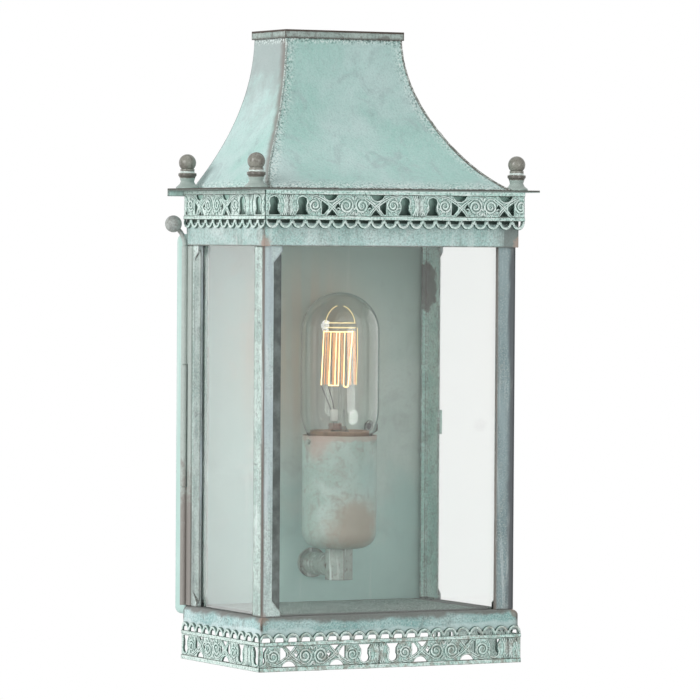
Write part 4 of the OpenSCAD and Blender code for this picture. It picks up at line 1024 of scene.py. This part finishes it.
# painted highlight: the press is near white, for the highlights on its glass
press_highlight_glass = patina("press glass painted white as highlight", "f4f6f0", "eef1ea", "dfe4dc", "e6e9e2", clouds=0.3, thin=0.3,
               crust=0.05, wear=0.1, bump=0.02, rough=0.25)
pinched = fresh(bpy.ops.mesh.primitive_cylinder_add, vertices=32, radius=0.0024, depth=0.0068,
                location=across(-3.1, 3.0, 5.9))
pinched.scale = (1.0, 0.5, 1.0)
pinched.rotation_euler = (0, 0, math.radians(-27.7))
rounded(pinched, 0.0008, 3)
finish_piece(pinched, "stem_press", press_highlight_glass, "wall_part")
copper = patina("copper coil", "c99b86", "b98672", "96705f", "d2ab97", clouds=0.3, thin=0.3, crust=0.05,
                wear=0.3, bump=0.02, rough=0.4)
coil_r, coil_top, coil_drop = 3.6, 1.2, 0.12
winds = [across(-2.6 + coil_r * math.cos(turn), 2.0 + coil_r * math.sin(turn), coil_top - coil_drop * turn)
         for turn in (math.pi * 10 * i / 120 for i in range(121))]
finish_piece(bent_wires([winds], 0.5), "stem_coil", copper, "wall_part")

# Cement ring: the tan cement that holds the bulb's glass in its cap. It shows as a narrow ring in the
# foot of the bulb, just over the cup's rim.
cement = patina("cement", "e3c3a6", "d4b196", "a98c78", "d6bca8", clouds=0.1, thin=0.4, crust=0.1, wear=0.2,
                bump=0.02, rough=0.6)
ring_low, ring_high = cup_high[2] - 0.001, cup_high[2] + 0.0026
ring = fresh(bpy.ops.mesh.primitive_cylinder_add, vertices=64, radius=0.0168, depth=ring_high - ring_low,
             end_fill_type="NOTHING", location=(0, axis_y, (ring_low + ring_high) / 2))
walled(ring, 0.0006)
bpy.ops.object.shade_smooth_by_angle(angle=math.radians(40))
finish_piece(ring, "bulb_cement_ring", cement, "wall_part")

# Rivet: a small brass head in the cup's wall, left of its middle and just under the rim. It is
# rounded at its edges and stands a little proud.
rivet_x, rivet_y, rivet_z = across(-17.8, 12.6, 1000 * cup_high[2] - 3.6)
rivet = fresh(bpy.ops.mesh.primitive_cylinder_add, vertices=24, radius=0.0015, depth=0.0014,
              location=(rivet_x, rivet_y, rivet_z),
              rotation=(math.pi / 2, 0, math.atan2(rivet_x, axis_y - rivet_y)))
rounded(rivet, 0.0003, 2)
bpy.ops.object.shade_smooth_by_angle(angle=math.radians(40))
finish_piece(rivet, "cup_rivet", arm_patina, "wall_part")

# Blind nut: six-sided, of dark brass with a sunk middle, on the face of the back box and to the
# right of the bulb's foot. The floor of its sunk middle is painted near black, as shade in the hole.
nut_r, nut_high, nut_sink = 0.0038, 0.0024, 0.0017
nut = fresh(bpy.ops.mesh.primitive_cylinder_add, vertices=6, radius=nut_r, depth=nut_high,
            location=(0.0385, -0.0146, -0.0028), rotation=(math.pi / 2, 0, 0))
bpy.ops.object.transform_apply(location=True, rotation=True, scale=True)
bpy.ops.object.mode_set(mode="EDIT")
bpy.ops.mesh.select_all(action="DESELECT")
form = bmesh.from_edit_mesh(nut.data)
for face in form.faces:
    face.select = face.normal.y < -0.9
bmesh.update_edit_mesh(nut.data)
bpy.ops.mesh.inset(thickness=0.0016)
bpy.ops.transform.translate(value=(0, nut_sink, 0))
bpy.ops.object.mode_set(mode="OBJECT")
nut_patina = patina("nut patina", "b9cbc3", "9db0a8", "7c827d", "5d564f", clouds=0.3, thin=0.6, crust=0.4,
                    wear=0.6)
tree, shader, colour = coloured(nut_patina)
# painted shade: the floor of the sunk middle near black
root = ramp(tree, split(tree)[1], -0.0148, -0.0142)
feed(tree, shader, Base_Color=blendin(tree, root, colour, tone("2c2f2d")))
finish_piece(nut, "box_blind_nut", nut_patina, "wall_part")

# Lampholder and connector: a glazed porcelain holder that stands in the cup, and a moulded plastic
# block for the supply, behind the face of the box.
porcelain = patina("porcelain", "ebe6da", "e2dccf", "d6d0c2", "d9d3c6", clouds=0.05, thin=0.4, crust=0.05,
                   wear=0.2, bump=0.02, rough=0.25)
plastic = patina("connector plastic", "dcd8ca", "d2cebf", "c6c1b2", "cfcabb", clouds=0.1, thin=0.4,
                 crust=0.05, wear=0.2, bump=0.02, rough=0.5)
dress(porcelain, "lampholder")
dress(plastic, "terminal_block")
